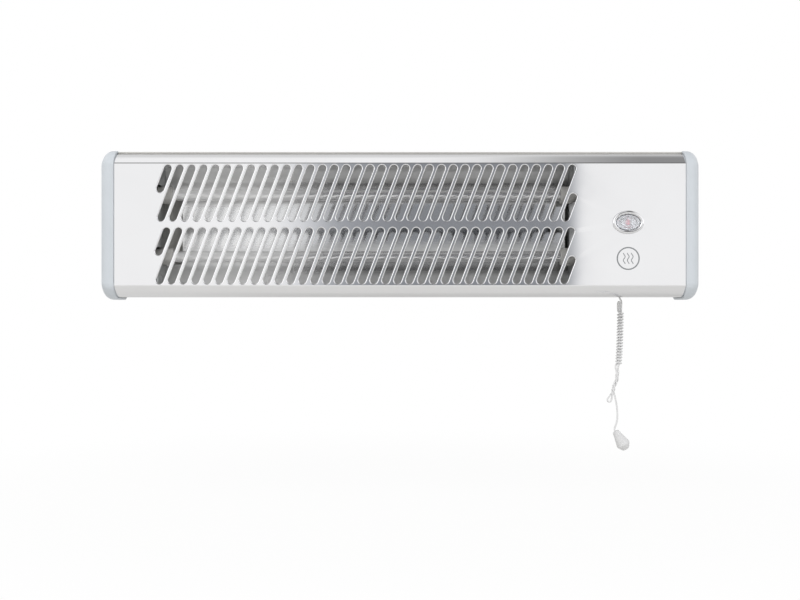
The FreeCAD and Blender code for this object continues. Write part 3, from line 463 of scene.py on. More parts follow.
def slot_places(sizes):
    """Middles and half runs of the upper row's slots, the two short ones last."""
    lean = sizes.slot_lean
    outer = sizes.slot_radius + sizes.slot_rim
    full = (sizes.row_half - outer) / math.cos(lean)
    short = (full - outer) / 2
    places = []
    for i in range(-1, sizes.slot_count + 1):
        x = sizes.grille_x + sizes.row_shift + (i - (sizes.slot_count - 1) / 2) * sizes.slot_pitch
        if 0 <= i < sizes.slot_count:
            places.insert(i, (at(x, 0, sizes.row_z), full))
        else:
            shift = (full - short) * (1 if i < 0 else -1)
            middle = at(x + shift * math.sin(lean), 0, sizes.row_z + shift * math.cos(lean))
            places.append((middle, short))
    return places


def rim_rows(sizes, centre, run):
    """The flat edge, the rolled rim and the short inner wall of one slot."""
    outer = sizes.slot_radius + sizes.slot_rim
    rows = [slot_loop(sizes, centre, run, outer + RIM_EDGE, 0)]
    for step in range(RIM_STEPS + 1):
        turn = math.pi / 2 * step / RIM_STEPS
        radius = outer - sizes.slot_rim * math.sin(turn)
        rows.append(slot_loop(sizes, centre, run, radius, sizes.slot_rim * (1 - math.cos(turn))))
    rows.append(slot_loop(sizes, centre, run, sizes.slot_radius, sizes.slot_rim + RIM_WALL))
    return rows


def repeated(tree, points, thing):
    """Instances of an object on points."""
    info = add_node(tree, "GeometryNodeObjectInfo", {"Object": thing})
    inputs = {"Points": points, "Instance": info.outputs["Geometry"]}
    return add_node(tree, "GeometryNodeInstanceOnPoints", inputs).outputs["Instances"]


def joined(tree, *parts):
    node = add_node(tree, "GeometryNodeJoinGeometry")
    for part in parts:
        link(tree, part, node.inputs["Geometry"])
    return node.outputs["Geometry"]


def hand_out(tree, geometry, given, result):
    """Instances made real and painted, as a tree's result."""
    plain = add_node(tree, "GeometryNodeRealizeInstances", {"Geometry": geometry})
    inputs = {"Geometry": plain.outputs["Geometry"], "Material": given.outputs["Finish"]}
    painted = add_node(tree, "GeometryNodeSetMaterial", inputs)
    link(tree, painted.outputs["Geometry"], result.inputs[0])


def slot_rows_tree():
    """Repeats a rim along the upper row, adds the short ones and turns a copy into the lower row."""
    sockets = {
        "Short Rims": "Geometry",
        "Rim": "Object",
        "Count": "Int",
        "Pitch": "Vector",
        "Turned Place": "Vector",
        "Finish": "Material",
    }
    tree, given, result = new_group("slot rows", "GeometryNodeTree", sockets, {"Rims": "Geometry"})
    inputs = {"Count": given.outputs["Count"], "Offset": given.outputs["Pitch"]}
    row = add_node(tree, "GeometryNodeMeshLine", inputs)
    full = repeated(tree, row.outputs["Mesh"], given.outputs["Rim"])
    upper = joined(tree, full, given.outputs["Short Rims"])
    inputs = {"Geometry": upper, "Translation": given.outputs["Turned Place"], "Rotation": (0, math.pi, 0)}
    turned = add_node(tree, "GeometryNodeTransform", inputs)
    hand_out(tree, joined(tree, upper, turned.outputs["Geometry"]), given, result)
    return tree


def run_tree(tree, mesh, values):
    """The plain mesh that a tree makes from a mesh and named values."""
    carrier = place_object(tree.name + " carrier", mesh)
    modifier = carrier.modifiers.new("tree", "NODES")
    modifier.node_group = tree
    for item in tree.interface.items_tree:
        if item.item_type == "SOCKET" and item.in_out == "INPUT" and item.name in values:
            modifier[item.identifier] = values[item.name]
    return modified_mesh(carrier)


def mesh_of_rows(name, groups):
    """A mesh of loops of points, joined row by row."""
    bm = bmesh.new()
    for rows in groups:
        strip(bm, rows)
    return plain_mesh(bm, name)


def slot_rims(sizes, material):
    """Both rows of rims, made from one full rim and the two short ones."""
    places = slot_places(sizes)
    rim = place_object("slot_rim_master", mesh_of_rows("slot rim", [rim_rows(sizes, *places[0])]))
    shorts = mesh_of_rows("short rims", [rim_rows(sizes, *place) for place in places[-2:]])
    values = {
        "Rim": rim,
        "Count": sizes.slot_count,
        "Pitch": (sizes.slot_pitch, 0, 0),
        "Turned Place": (2 * sizes.grille_x, 0, 0),
        "Finish": material,
    }
    mesh = run_tree(slot_rows_tree(), shorts, values)
    bpy.data.objects.remove(rim)
    return mesh


def lamp_oval(length, height, depth, count=56):
    points = []
    for turn in ring_turns(count):
        x = LAMP_X + length / 2 * math.cos(turn)
        points.append(at(x, depth, LAMP_Z + height / 2 * math.sin(turn)))
    return points


def panel_flat(bm, sizes, half_height):
    """The flat face with its slots and lamp hole left open."""
    loops = [lamp_oval(*LAMP_HOLE, 0)]
    outer = sizes.slot_radius + sizes.slot_rim + RIM_EDGE
    for centre, run in slot_places(sizes):
        loop = slot_loop(sizes, centre, run, outer, 0)
        loops.append(loop)
        loops.append([Vector((2 * sizes.grille_x - p.x, p.y, -p.z)) for p in loop])
    corners = [(-1, -1), (1, -1), (1, 1), (-1, 1)]
    loops.append([at(PANEL_HALF * x, 0, half_height * z) for x, z in corners])
    edges = []
    for loop in loops:
        verts = [bm.verts.new(p) for p in loop]
        for i, vert in enumerate(verts):
            edges.append(bm.edges.new((vert, verts[(i + 1) % len(verts)])))
    bmesh.ops.triangle_fill(bm, use_beauty=True, edges=edges, normal=(0, -1, 0))


def band_rows():
    """The panel's section from its flat face over the crease and band to its rear flange."""
    nose, bend = outline_corners(0.0)
    points = [(0, 0), nose, bend, (FLANGE_END, bend[1])]
    return arc_run(points, [0, CREASE, band_radius(0.0, CREASE), 0], False, 12)[1:]


def sheet_strip(bm, ends, section, side=1):
    """A section of (depth, z) points in millimetres, drawn out between two ends."""
    rows = [[at(x, p.x * MM, side * p.y * MM) for x in ends] for p in section]
    strip(bm, rows, closed_loop=False)


def face_front(bm, face):
    """Turns all faces over if one that should face the room doesn't."""
    if face.normal.y > 0:
        bmesh.ops.reverse_faces(bm, faces=bm.faces)


def front_panel_mesh(sizes, material):
    bm = bmesh.new()
    rows = band_rows()
    panel_flat(bm, sizes, rows[0].y * MM)
    for side in (1, -1):
        sheet_strip(bm, (-PANEL_HALF, PANEL_HALF), rows, side)
    rims = slot_rims(sizes, material)
    bm.from_mesh(rims)
    bpy.data.meshes.remove(rims)
    outward(bm)
    face_front(bm, max(bm.faces, key=lambda face: face.calc_area() if abs(face.normal.y) > 0.999 else 0))
    return finished_mesh(bm, "front_panel", thickness=SHEET)


class HEATER_OT_front_panel(bpy.types.Operator):
    """Polished front panel with two rows of rolled slots"""

    bl_idname = "heater.front_panel"
    bl_label = "Front panel"

    def execute(self, context):
        colour = context.scene.heater_colours.polished
        steel = finish(
            "polished steel", colour, shaded(colour, 0.97), (0.045, 0.075), metallic=1.0,
            patch_scale=9.0, rough_scale=25.0
        )
        mesh = front_panel_mesh(context.scene.heater_sizes, steel)
        new_piece("front_panel", mesh, steel, "heater", "polished_steel", "front_grille")
        return {"FINISHED"}


# End caps, in millimetres
CAP_REACH = 12.5
CAP_INSIDE = 4.0
CAP_PLAY = 0.1
CAP_WALL = 2.2
CAP_LIP = 0.6
CAP_EDGE = 9.0
CAP_NOSE = 10.0
LIP_STEPS = 6
EDGE_STEPS = 12


def end_cap(bm, side):
    """A moulded cap: mouth, sleeve, rounded outer edge and flat end."""
    end = HALF_WIDTH / MM
    mouth = end - CAP_REACH
    rows = [outline_loop(side * (mouth + CAP_INSIDE) * MM, CAP_PLAY, CREASE)]
    for step in range(LIP_STEPS + 1):
        turn = math.pi * step / LIP_STEPS
        x = mouth + CAP_LIP * (1 - math.sin(turn))
        share = (1 - math.cos(turn)) / 2
        nose = CREASE + (CAP_NOSE - CREASE) * share
        rows.append(outline_loop(side * x * MM, CAP_PLAY + CAP_WALL * share, nose))
    for step in range(EDGE_STEPS + 1):
        turn = math.pi / 2 * step / EDGE_STEPS
        inset = CAP_EDGE * (1 - math.cos(turn))
        x = end - CAP_EDGE + CAP_EDGE * math.sin(turn)
        rows.append(outline_loop(side * x * MM, CAP_PLAY + CAP_WALL - inset, CAP_NOSE - inset))
    grid = strip(bm, rows)
    bm.faces.new(grid[-1])


class HEATER_OT_end_caps(bpy.types.Operator):
    """Moulded grey caps over both ends of the casing"""

    bl_idname = "heater.end_caps"
    bl_label = "End caps"

    def execute(self, context):
        colour = context.scene.heater_colours.cap
        plastic = finish("cap plastic", colour, shaded(colour, 0.97), (0.34, 0.44), grain=(1400.0, 0.05))
        bm = bmesh.new()
        end_cap(bm, 1)
        end_cap(bm, -1)
        outward(bm)
        mesh = finished_mesh(bm, "end_cap_pair")
        new_piece("end_cap_pair", mesh, plastic, "heater", "cap_plastic", "end_caps")
        return {"FINISHED"}


# Reflector, tubes and their holders, in millimetres
NOTCH_Z = 19.3
LEFT_NOTCH = 15.0
RIGHT_NOTCH = 3.0
UPPER_SHEET = [(6.0, 56.2), (34.0, 53.7), (44.0, 39.3), (44.0, NOTCH_Z)]
UPPER_BENDS = [0, 10, 14, 0]
SHEET_REACH = 60.0
# colour, roughness and mirror share of the sheet by height, the same below the middle unless the list goes
# there: first with painted light towards the left, then elsewhere, where the colour's bands beside the tubes
# are painted reflections and the non-metal patch above the lower tube is a painted highlight
PAINTED_LIT_SHEET = {
    "Base Color": [(0, 0.98), (58, 0.98)],
    "Roughness": [(0, 0.2), (58, 0.2)],
    "Metallic": [(0, 1.0), (16, 1.0), (21, 0.45), (58, 0.45)],
}
PAINTED_REFLECTION_SHEET = {
    "Base Color": [(0, 0.8), (19, 0.8), (27, 0.95), (33, 0.62), (35, 0.5), (42, 0.5), (46, 0.92), (58, 0.95)],
    "Roughness": [(0, 0.07), (19, 0.08), (27, 0.18), (34, 0.24), (42, 0.28), (46, 0.5), (58, 0.5)],
    "Metallic": [(-58, 1.0), (-28, 1.0), (-26, 0.05), (-20, 0.2), (-11, 1.0), (58, 1.0)],
}
# where painted light on the sheet and the tubes starts towards the left, and how strong it gets
PAINTED_LIGHT_FROM = -60
PAINTED_LIGHT_TO = -130
PAINTED_LIGHT_MOST = 0.85
QUARTZ_MIRROR = 0.8
PAINTED_LIGHT_QUARTZ_MIRROR = 0.3
PAINTED_LIGHT_QUARTZ_LEVEL = 0.92
TUBE_EDGE = 1.0
CUP_RADIUS = 8.0
CUP_LENGTH = 21.0
CUP_EDGE = 0.8
CUP_BORE = 5.1
CUP_DEPTH = 7.0


def painted_light_share(tree, x):
    """Share of painted light on the metal and the quartz along the heater: more towards the left."""
    inputs = {"Value": x, "From Min": PAINTED_LIGHT_FROM * MM, "From Max": PAINTED_LIGHT_TO * MM, "To Max": PAINTED_LIGHT_MOST}
    return add_node(tree, "ShaderNodeMapRange", inputs).outputs["Result"]


def height_ramp(tree, share, stops):
    """A level by height from (height, level) stops, where share runs over the reach of the sheet."""
    if stops[0][0] >= 0:
        stops = [(-height, value) for height, value in reversed(stops)] + stops[1:]
    ramp = add_node(tree, "ShaderNodeValToRGB", {"Fac": share})
    marks = ramp.color_ramp.elements
    for mark, (height, value) in zip(marks, (stops[0], stops[-1])):
        mark.position = 0.5 + 0.5 * height / SHEET_REACH
        mark.color = level(value)
    for height, value in stops[1:-1]:
        marks.new(0.5 + 0.5 * height / SHEET_REACH).color = level(value)
    return ramp.outputs["Color"]


def quartz_finish():
    """Milky quartz, grey and partly mirror-like, with painted light making it whiter and less mirror-like
    towards its left end.
    """
    quartz = finish("milky quartz", (0.70, 0.70, 0.71), (0.60, 0.60, 0.61), (0.10, 0.18), patch_scale=18.0)
    tree = quartz.node_tree
    inputs = shader_of(quartz).inputs
    painted_light = painted_light_share(tree, object_place(tree)["X"])
    quartz_grey = inputs["Base Color"].links[0].from_socket
    link(tree, mixed(tree, painted_light, quartz_grey, level(PAINTED_LIGHT_QUARTZ_LEVEL)), inputs["Base Color"])
    mirror = mixed(tree, painted_light, level(QUARTZ_MIRROR), level(PAINTED_LIGHT_QUARTZ_MIRROR))
    link(tree, mirror, inputs["Metallic"])
    return quartz


def reflector_finish():
    """Bright rolled sheet with painted reflections beside the tubes, painted light towards the left and satin
    on its wings.
    """
    sheet, tree, shader = node_material("bright sheet")
    x, _, z = object_place(tree)
    inputs = {"Value": z, "From Min": -SHEET_REACH * MM, "From Max": SHEET_REACH * MM}
    share = add_node(tree, "ShaderNodeMapRange", inputs).outputs["Result"]
    painted_light = painted_light_share(tree, x)
    # painted reflections by height, mixed towards the left with painted light
    for socket, stops in PAINTED_REFLECTION_SHEET.items():
        painted_bands = height_ramp(tree, share, stops)
        bright = height_ramp(tree, share, PAINTED_LIT_SHEET[socket])
        link(tree, mixed(tree, painted_light, painted_bands, bright), shader.inputs[socket])
    return sheet


def reflector_mesh():
    """The folded sheet with two troughs, notched at both ends between the tubes."""
    bm = bmesh.new()
    low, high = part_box("reflector")
    left = low.x + LEFT_NOTCH * MM
    right = high.x - RIGHT_NOTCH * MM
    points = UPPER_SHEET + [(d, -z) for d, z in reversed(UPPER_SHEET)]
    section = arc_run(points, UPPER_BENDS + UPPER_BENDS[::-1], False, 10)
    above = [p for p in section if p.y >= NOTCH_Z]
    below = [p for p in section if p.y <= -NOTCH_Z]
    sheet_strip(bm, (left, right), section)
    for part in (above, below):
        sheet_strip(bm, (low.x, left), part)
        sheet_strip(bm, (right, high.x), part)
    outward(bm)
    face_front(bm, max(bm.faces, key=lambda face: face.calc_center_median().y))
    return finished_mesh(bm, "reflector_sheet", thickness=SHEET)


def lathe_x(bm, centre, profile, sides=40):
    """A shape about a line along X from (x, radius, height of six lobes) points, closed at both ends."""
    rows = []
    for x, radius, *lobe in profile:
        row = []
        for turn in ring_turns(sides):
            reach = radius - sum(lobe) * math.cos(6 * turn)
            row.append(centre + Vector((x, reach * math.cos(turn), reach * math.sin(turn))))
        rows.append(row)
    capped(bm, rows)


def tube_mesh(node, name):
    """A quartz tube with eased ends in the place of a CAD node."""
    low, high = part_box(node)
    half = (high.x - low.x) / 2
    radius = (high.z - low.z) / 2
    inner = radius - TUBE_EDGE * MM
    bm = bmesh.new()
    lathe_x(bm, (low + high) / 2, [(-half, inner), (-half, radius), (half, radius), (half, inner)])
    outward(bm)
    return finished_mesh(bm, name)


def ceramics_mesh():
    """The four ceramic cups, each with its bore towards the middle."""
    low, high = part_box("tube_ceramics")
    bm = bmesh.new()
    profile = [
        (0, CUP_RADIUS - CUP_EDGE),
        (CUP_EDGE, CUP_RADIUS),
        (CUP_LENGTH - CUP_EDGE, CUP_RADIUS),
        (CUP_LENGTH, CUP_RADIUS - CUP_EDGE),
        (CUP_LENGTH, CUP_BORE),
        (CUP_LENGTH - CUP_DEPTH, CUP_BORE),
    ]
    for z in (low.z + CUP_RADIUS * MM, high.z - CUP_RADIUS * MM):
        for x, sign in ((low.x, 1), (high.x, -1)):
            centre = Vector((x, (low.y + high.y) / 2, z))
            lathe_x(bm, centre, [(sign * along * MM, radius * MM) for along, radius in profile])
    outward(bm)
    return finished_mesh(bm, "ceramic_cups")


class HEATER_OT_heating_tubes(bpy.types.Operator):
    """Reflector, quartz tubes and ceramic holders"""

    bl_idname = "heater.heating_tubes"
    bl_label = "Heating tubes"

    def execute(self, context):
        sheet = reflector_finish()
        new_piece("reflector_trough", reflector_mesh(), sheet, "heater", "reflector_sheet", "reflector")
        quartz = quartz_finish()
        for node in ("quartz_tube_upper", "quartz_tube_lower"):
            name = node.replace("quartz_tube", "frosted_tube")
            new_piece(name, tube_mesh(node, name), quartz, "heater", "quartz", node)
        ceramic = finish(
            "bare ceramic", (0.60, 0.59, 0.57), (0.50, 0.49, 0.47), (0.6, 0.75), grain=(700.0, 0.15)
        )
        new_piece("ceramic_cups", ceramics_mesh(), ceramic, "heater", "ceramic", "tube_ceramics")
        return {"FINISHED"}


# Signal lamp: ovals as (length, height, depth) in millimetres
BEZEL = [
    (23.2, 16.2, 9.0), (23.2, 16.2, 0.0), (28.0, 21.0, 0.0), (28.0, 21.0, -1.2), (27.5, 20.5, -1.9),
    (26.6, 19.5, -2.4), (25.4, 18.2, -2.6), (24.2, 16.9, -2.5), (23.0, 15.6, -2.1), (22.2, 14.7, -1.4),
    (21.8, 14.2, -0.6), (21.8, 14.2, 1.6), (22.0, 14.9, 1.8), (22.0, 14.9, 9.0)
]
WINDOW = [
    (2.0, 1.2, -1.9), (10.0, 6.2, -1.8), (13.8, 8.8, -1.6), (14.3, 9.2, -1.0), (15.2, 9.9, -1.0),
    (15.7, 10.3, -1.55), (19.6, 12.6, -1.3), (21.0, 13.5, -0.9), (21.5, 13.9, -0.4), (21.5, 13.9, 1.2),
    (2.0, 1.2, 1.2)
]
BOWL = [(21.4, 13.8, 1.5), (18.4, 11.9, 2.2), (13.0, 8.6, 3.0), (6.6, 6.2, 3.6), (6.0, 5.8, 4.2)]
WINDOW_CLEAR = 0.68
WINDOW_IOR = 1.46
# how the distance from the neon lamp's axis counts along each direction, and the reach of its red glow,
# painted as colour
NEON_SPREAD = (1.0, 0, 0.65)
NEON_REACH = (1.7, 2.4)
NEON_GLOW_RED = (0.90, 0.03, 0.16, 1)
NEON_PALE = (0.86, 0.86, 0.88, 1)


def oval_rows(profile):
    """Oval loops about the lamp's middle."""
    return [lamp_oval(length * MM, height * MM, depth * MM) for length, height, depth in profile]


def neon_finish():
    """Pale glass with the neon's red glow painted along its axis."""
    glass, tree, shader = node_material("neon glass")
    link(tree, uneven(tree, 0.1, 0.2), shader.inputs["Roughness"])
    place = add_node(tree, "ShaderNodeTexCoord")
    shift = (-LAMP_X * NEON_SPREAD[0], 0, -LAMP_Z * NEON_SPREAD[2])
    inputs = {0: place.outputs["Object"], 1: NEON_SPREAD, 2: shift}
    flat = add_node(tree, "ShaderNodeVectorMath", inputs, operation="MULTIPLY_ADD")
    away = add_node(tree, "ShaderNodeVectorMath", {0: flat.outputs["Vector"]}, operation="LENGTH")
    near, far = NEON_REACH
    inputs = {"Value": away.outputs["Value"], "From Min": near * MM, "From Max": far * MM}
    fade = add_node(tree, "ShaderNodeMapRange", inputs)
    link(tree, mixed(tree, fade.outputs["Result"], NEON_GLOW_RED, NEON_PALE), shader.inputs["Base Color"])
    return glass


class HEATER_OT_signal_lamp(bpy.types.Operator):
    """Chrome bezel, clear window, white bowl and neon capsule"""

    bl_idname = "heater.signal_lamp"
    bl_label = "Signal lamp"

    def execute(self, context):
        chrome = finish("lamp chrome", (0.82, 0.82, 0.83), (0.74, 0.74, 0.75), (0.05, 0.1), metallic=1.0)
        bm = bmesh.new()
        strip(bm, oval_rows(BEZEL), closed_rows=True)
        outward(bm)
        bezel = finished_mesh(bm, "bezel_ring", sharp=50)
        new_piece("bezel_ring", bezel, chrome, "heater", "lamp_chrome", "lamp_bezel")
        clear = finish("lamp clear", (0.97, 0.98, 1.0), (0.95, 0.96, 1.0), (0.055, 0.085))
        inputs = shader_of(clear).inputs
        inputs["Transmission Weight"].default_value = WINDOW_CLEAR
        inputs["IOR"].default_value = WINDOW_IOR
        window = closed_mesh("lamp_window", oval_rows(WINDOW))
        new_piece("lamp_window", window, clear, "heater", "lamp_clear", "lamp_lens")
        white = finish("lamp bowl", (0.92, 0.93, 0.95), (0.88, 0.89, 0.92), (0.3, 0.45))
        bm = bmesh.new()
        strip(bm, oval_rows(BOWL))
        outward(bm)
        new_piece("lamp_bowl", finished_mesh(bm, "lamp_bowl"), white, "heater", "inner_plastic")
        paint_nodes(neon_finish(), "neon_lamp")
        return {"FINISHED"}


# Pull cord: drops and sides in millimetres from where the cord leaves the casing
EXIT = Vector((205.0, -59.0, -65.6))
LEAD_IN = (0.5, 0.1, -1.5)
# the hank's two strands and their middle line: side by side in the wraps, twisted below
CORE_HALF = 0.84
HANK_TOP = 3.6
HANK_SIDE = 0.9
TOP_SIDE = 0.3
HANK_LEAN = 1.9
HANK_CURVE = 2.5
TWIST_DROP = 64.2
TWIST_LENGTH = 28.0
TWIST_SIDE = 6.9
TWIST_SPREAD = 0.12
TWIST = 657.0
TWIST_POINTS = 24
WRAP_TWIST = 63.0
WRAP_TWIST_LENGTH = 12.0
STRAIGHT_DROPS = [HANK_TOP, 7.2, 11.2, 16.2, 22.2, 34.2, 46.2, 56.2, TWIST_DROP]
# the loop at the foot, as ways along and across the hank
LOOP = [(1.4, 1.3), (3.2, 1.95), (5.0, 1.75), (6.0, 0), (5.0, -1.75), (3.2, -1.95), (1.4, -1.3)]
# the bend over the top and the wraps
BIGHT_DROP = 5.6
BIGHT_RISE = 1.3
BIGHT_GAP = 0.04
WRAP_RADIUS = 2.45
WRAP_PITCH = 2.72
WRAP_DOWN = 10.2
WRAP_START = 14.4
WRAP_TURNS = 17.6
RUN_IN = math.radians(75)
TURN_POINTS = 14
# shares of the twist between which the end is laid in with the strands
LAID_IN = (0.054, 0.794)
LAID_RADIUS = 1.42
LAID_POINTS = 18
TAIL = [
    (-4.2, -0.6, -93.2),
    (-2.8, -0.3, -99.2),
    (-2.0, -0.2, -105.2),
    (-1.8, -0.1, -111.2),
    (-2.4, 0.0, -116.7),
    (-3.9, 0.0, -120.8),
    (-4.7, 0.0, -123.2),
]
PULL_TOP = (-3.7, 0.0, -125.1)
PULL_TILT = math.radians(31)
PULL_AXIS = Vector((math.sin(PULL_TILT), 0, -math.cos(PULL_TILT)))
CORD_END = 2.5
# the pull's section as (way along its axis, radius)
PULL = [
    (1.6, 0.8), (0.3, 0.9), (0.0, 1.3), (0.0, 2.3), (0.3, 2.9), (1.0, 3.2), (4.0, 3.85), (8.0, 4.9),
    (12.6, 6.1), (13.6, 6.35), (14.3, 6.35), (14.9, 6.1), (15.6, 5.7), (18.5, 3.75), (19.1, 3.2),
    (19.4, 2.5), (19.5, 1.4)
]


def below_exit(side, back, up):
    return EXIT + Vector((side, back, up))


def past_wraps(drop):
    """How far down the twisted part a drop is, as a share of its length."""
    return max(0.0, drop - TWIST_DROP) / TWIST_LENGTH


def core_side(drop):
    """Sideways place of the hank's middle line at a drop below the exit."""
    span = TWIST_DROP - HANK_TOP
    share = max(0.0, min(drop, TWIST_DROP) - HANK_TOP) / span
    past = past_wraps(drop)
    slope = HANK_CURVE * HANK_LEAN / span * TWIST_LENGTH / TWIST_SIDE
    top = TOP_SIDE * (1 - min(1.0, share * 6)) ** 2
    twisted = TWIST_SIDE * (slope * past + (1 - slope) * past**2)
    return HANK_SIDE + top - HANK_LEAN * share**HANK_CURVE - twisted


def core_frame(drop):
    """The hank's middle, its way down and the direction square to it."""
    slope = (core_side(drop + 0.01) - core_side(drop - 0.01)) / 0.02
    down = Vector((slope, 0, -1)).normalized()
    return below_exit(core_side(drop), 0, -drop), down, Vector((1, 0, slope)).normalized()


def spoke(across, turn, radius):
    return (across * math.cos(turn) + Vector((0, math.sin(turn), 0))) * radius


def wound(drop, turn, radius):
    """A place around the hank's middle line."""
    middle, _, across = core_frame(drop)
    return middle + spoke(across, turn, radius)


def twist_drop(share):
    """The drop at which the strands have made a share of their twist."""
    return TWIST_DROP + TWIST_LENGTH * share ** (2 / 3)


def strand_turn(drop):
    """How far the inner strands have turned: side by side at the top, twisted below the wraps."""
    under_top = max(0.0, min(1.0, (drop - WRAP_DOWN) / WRAP_TWIST_LENGTH))
    return math.radians(WRAP_TWIST * under_top + TWIST * past_wraps(drop) ** 1.5)


def strand(drop, sign):
    """A place on one of the two inner strands."""
    return wound(drop, strand_turn(drop), (CORE_HALF + TWIST_SPREAD * past_wraps(drop)) * sign)


def laid_in(drop):
    """A place on the cord's end where it runs down in the groove of the two twisted strands."""
    return wound(drop, strand_turn(drop) + math.pi / 2, LAID_RADIUS)


def wrap_points(descent):
    """The way into the wraps, the wraps themselves and the way out."""
    middle, _, _ = core_frame(WRAP_DOWN)
    first = math.atan2(descent.y - middle.y, descent.x - middle.x)
    first_radius = math.hypot(descent.y - middle.y, descent.x - middle.x)
    rate = WRAP_PITCH / (2 * math.pi)
    fall = WRAP_START - WRAP_DOWN
    ease = 2 * RUN_IN * rate - fall
    points = []
    for share in (0.35, 0.7):
        drop = WRAP_DOWN + (fall - ease) * share + ease * share**2
        radius = first_radius + (WRAP_RADIUS - first_radius) * (3 * share**2 - 2 * share**3)
        points.append(wound(drop, first + RUN_IN * share**2, radius))
    start = first + RUN_IN
    count = round(WRAP_TURNS * TURN_POINTS)
    for i in range(count + 1):
        turned = 2 * math.pi * WRAP_TURNS * i / count
        points.append(wound(WRAP_START + rate * turned, start + turned, WRAP_RADIUS))
    end_turn = start + 2 * math.pi * WRAP_TURNS
    end_drop = WRAP_START + WRAP_PITCH * WRAP_TURNS
    for share in (0.35, 0.7, 1.0):
        left = 1 - share
        drop = end_drop + fall - ((fall - ease) * left + ease * left**2)
        points.append(wound(drop, end_turn + RUN_IN * (1 - left**2), WRAP_RADIUS))
    return points


def cord_points():
    """Control points of the whole cord, from the casing to the pull."""
    twisted = [twist_drop(i / TWIST_POINTS) for i in range(1, TWIST_POINTS + 1)]
    points = [below_exit(0, 0, 0), below_exit(*LEAD_IN)]
    points += [strand(drop, 1) for drop in STRAIGHT_DROPS + twisted]
    middle, down, across = core_frame(TWIST_DROP + TWIST_LENGTH)
    points += [middle + down * along + across * side for along, side in LOOP]
    points += [strand(drop, -1) for drop in twisted[::-1] + STRAIGHT_DROPS[:0:-1] + [BIGHT_DROP]]
    foot = points[-1]
    reach = -2 * (CORE_HALF + BIGHT_GAP)
    descent = foot + Vector((reach, 0, BIGHT_DROP - WRAP_DOWN))
    points += [foot + Vector((0, 0, BIGHT_RISE)), foot + Vector((reach, 0, BIGHT_RISE)), descent]
    points += wrap_points(descent)
    first, last = LAID_IN
    for i in range(LAID_POINTS + 1):
        points.append(laid_in(twist_drop(first + (last - first) * i / LAID_POINTS)))
    points += [below_exit(*place) for place in TAIL]
    top = below_exit(*PULL_TOP)
    return points + [top, top + PULL_AXIS * CORD_END]


def pull_mesh():
    """The acorn-shaped pull, turned about its leaning axis."""
    across = Vector((math.cos(PULL_TILT), 0, math.sin(PULL_TILT)))
    top = below_exit(*PULL_TOP)
    rows = []
    for along, radius in PULL:
        rows.append([(top + PULL_AXIS * along + spoke(across, turn, radius)) * MM for turn in ring_turns(40)])
    return closed_mesh("acorn_pull", rows, sharp=60)


class HEATER_OT_pull_cord(bpy.types.Operator):
    """White cord wound into a hank, with its pull"""

    bl_idname = "heater.pull_cord"
    bl_label = "Pull cord"

    def execute(self, context):
        sizes = context.scene.heater_sizes
        colours = context.scene.heater_colours
        moulded = finish("white moulding", colours.pull, shaded(colours.pull, 0.96), (0.3, 0.42))
        pull = new_piece("acorn_pull", pull_mesh(), moulded, "hanging_cord", "white_plastic", "cord_pull")
        points = cord_points()
        curve = bpy.data.curves.new("pull_cord", "CURVE")
        curve.dimensions = "3D"
        curve.bevel_depth = sizes.cord_diameter / 2
        curve.bevel_resolution = 3
        curve.resolution_u = 4
        curve.use_fill_caps = True
        spline = curve.splines.new("NURBS")
        spline.points.add(len(points) - 1)
        for point, place in zip(spline.points, points):
            point.co = (*(place * MM), 1)
        spline.order_u = 3
        spline.use_endpoint_u = True
        braid = finish(
            "cord braid", colours.cord, shaded(colours.cord, 0.95), (0.65, 0.8), grain=(2600.0, 0.25),
            patch_scale=500.0
        )
        cord = place_object("pull_cord", curve)
        curve.materials.append(braid)
        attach(cord, "hanging_cord")
        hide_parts("pull_cord_lead", "pull_cord_hank", "pull_cord_tail")
        return {"FINISHED"}


# Printed mark, in millimetres
MARK_X = 205.4
MARK_Z = -30.7
RING_WIDTH = 1.2
WAVE_WIDTH = 0.75
WAVE_SIDES = (-3.6, 0.0, 3.6)
WAVE_HALF = 5.0
WAVE_SWING = 0.8
WAVE_RATE = 0.95
WAVE_STEPS = 24
INK_LIFT = 0.03


def ribbon(bm, points, width, closed):
    """A flat printed line on the panel's face."""
    lift = -INK_LIFT * MM
    rows = []
    count = len(points)
    for i, (x, z) in enumerate(points):
        before = Vector(points[i - 1] if closed or i else points[0])
        after = Vector(points[(i + 1) % count] if closed or i < count - 1 else points[-1])
        run = (after - before).normalized()
        side = Vector((-run.y, run.x)) * (width / 2)
        rows.append([at(x + side.x, lift, z + side.y), at(x - side.x, lift, z - side.y)])
    strip(bm, rows, closed_rows=closed, closed_loop=False)


class HEATER_OT_printed_mark(bpy.types.Operator):
    """Printed ring with three plain heat waves"""

    bl_idname = "heater.printed_mark"
    bl_label = "Printed mark"

    def execute(self, context):
        radius = context.scene.heater_sizes.mark_radius
        colour = context.scene.heater_colours.print_grey
        ink = finish("printed grey", colour, shaded(colour, 0.9), (0.4, 0.5))
        middle_x = MARK_X * MM
        middle_z = MARK_Z * MM
        bm = bmesh.new()
        ring = []
        for turn in ring_turns(64):
            ring.append((middle_x + radius * math.cos(turn), middle_z + radius * math.sin(turn)))
        ribbon(bm, ring, RING_WIDTH * MM, True)
        for side in WAVE_SIDES:
            wave = []
            for i in range(WAVE_STEPS + 1):
                rise = -WAVE_HALF + 2 * WAVE_HALF * i / WAVE_STEPS
                swing = side + WAVE_SWING * math.sin(rise * WAVE_RATE)
                wave.append((middle_x + swing * MM, middle_z + rise * MM))
            ribbon(bm, wave, WAVE_WIDTH * MM, False)
        outward(bm)
        for face in bm.faces:
            if face.normal.y > 0:
                face.normal_flip()
        new_piece("printed_mark", plain_mesh(bm, "printed_mark"), ink, "heater", "inner_plastic")
        return {"FINISHED"}


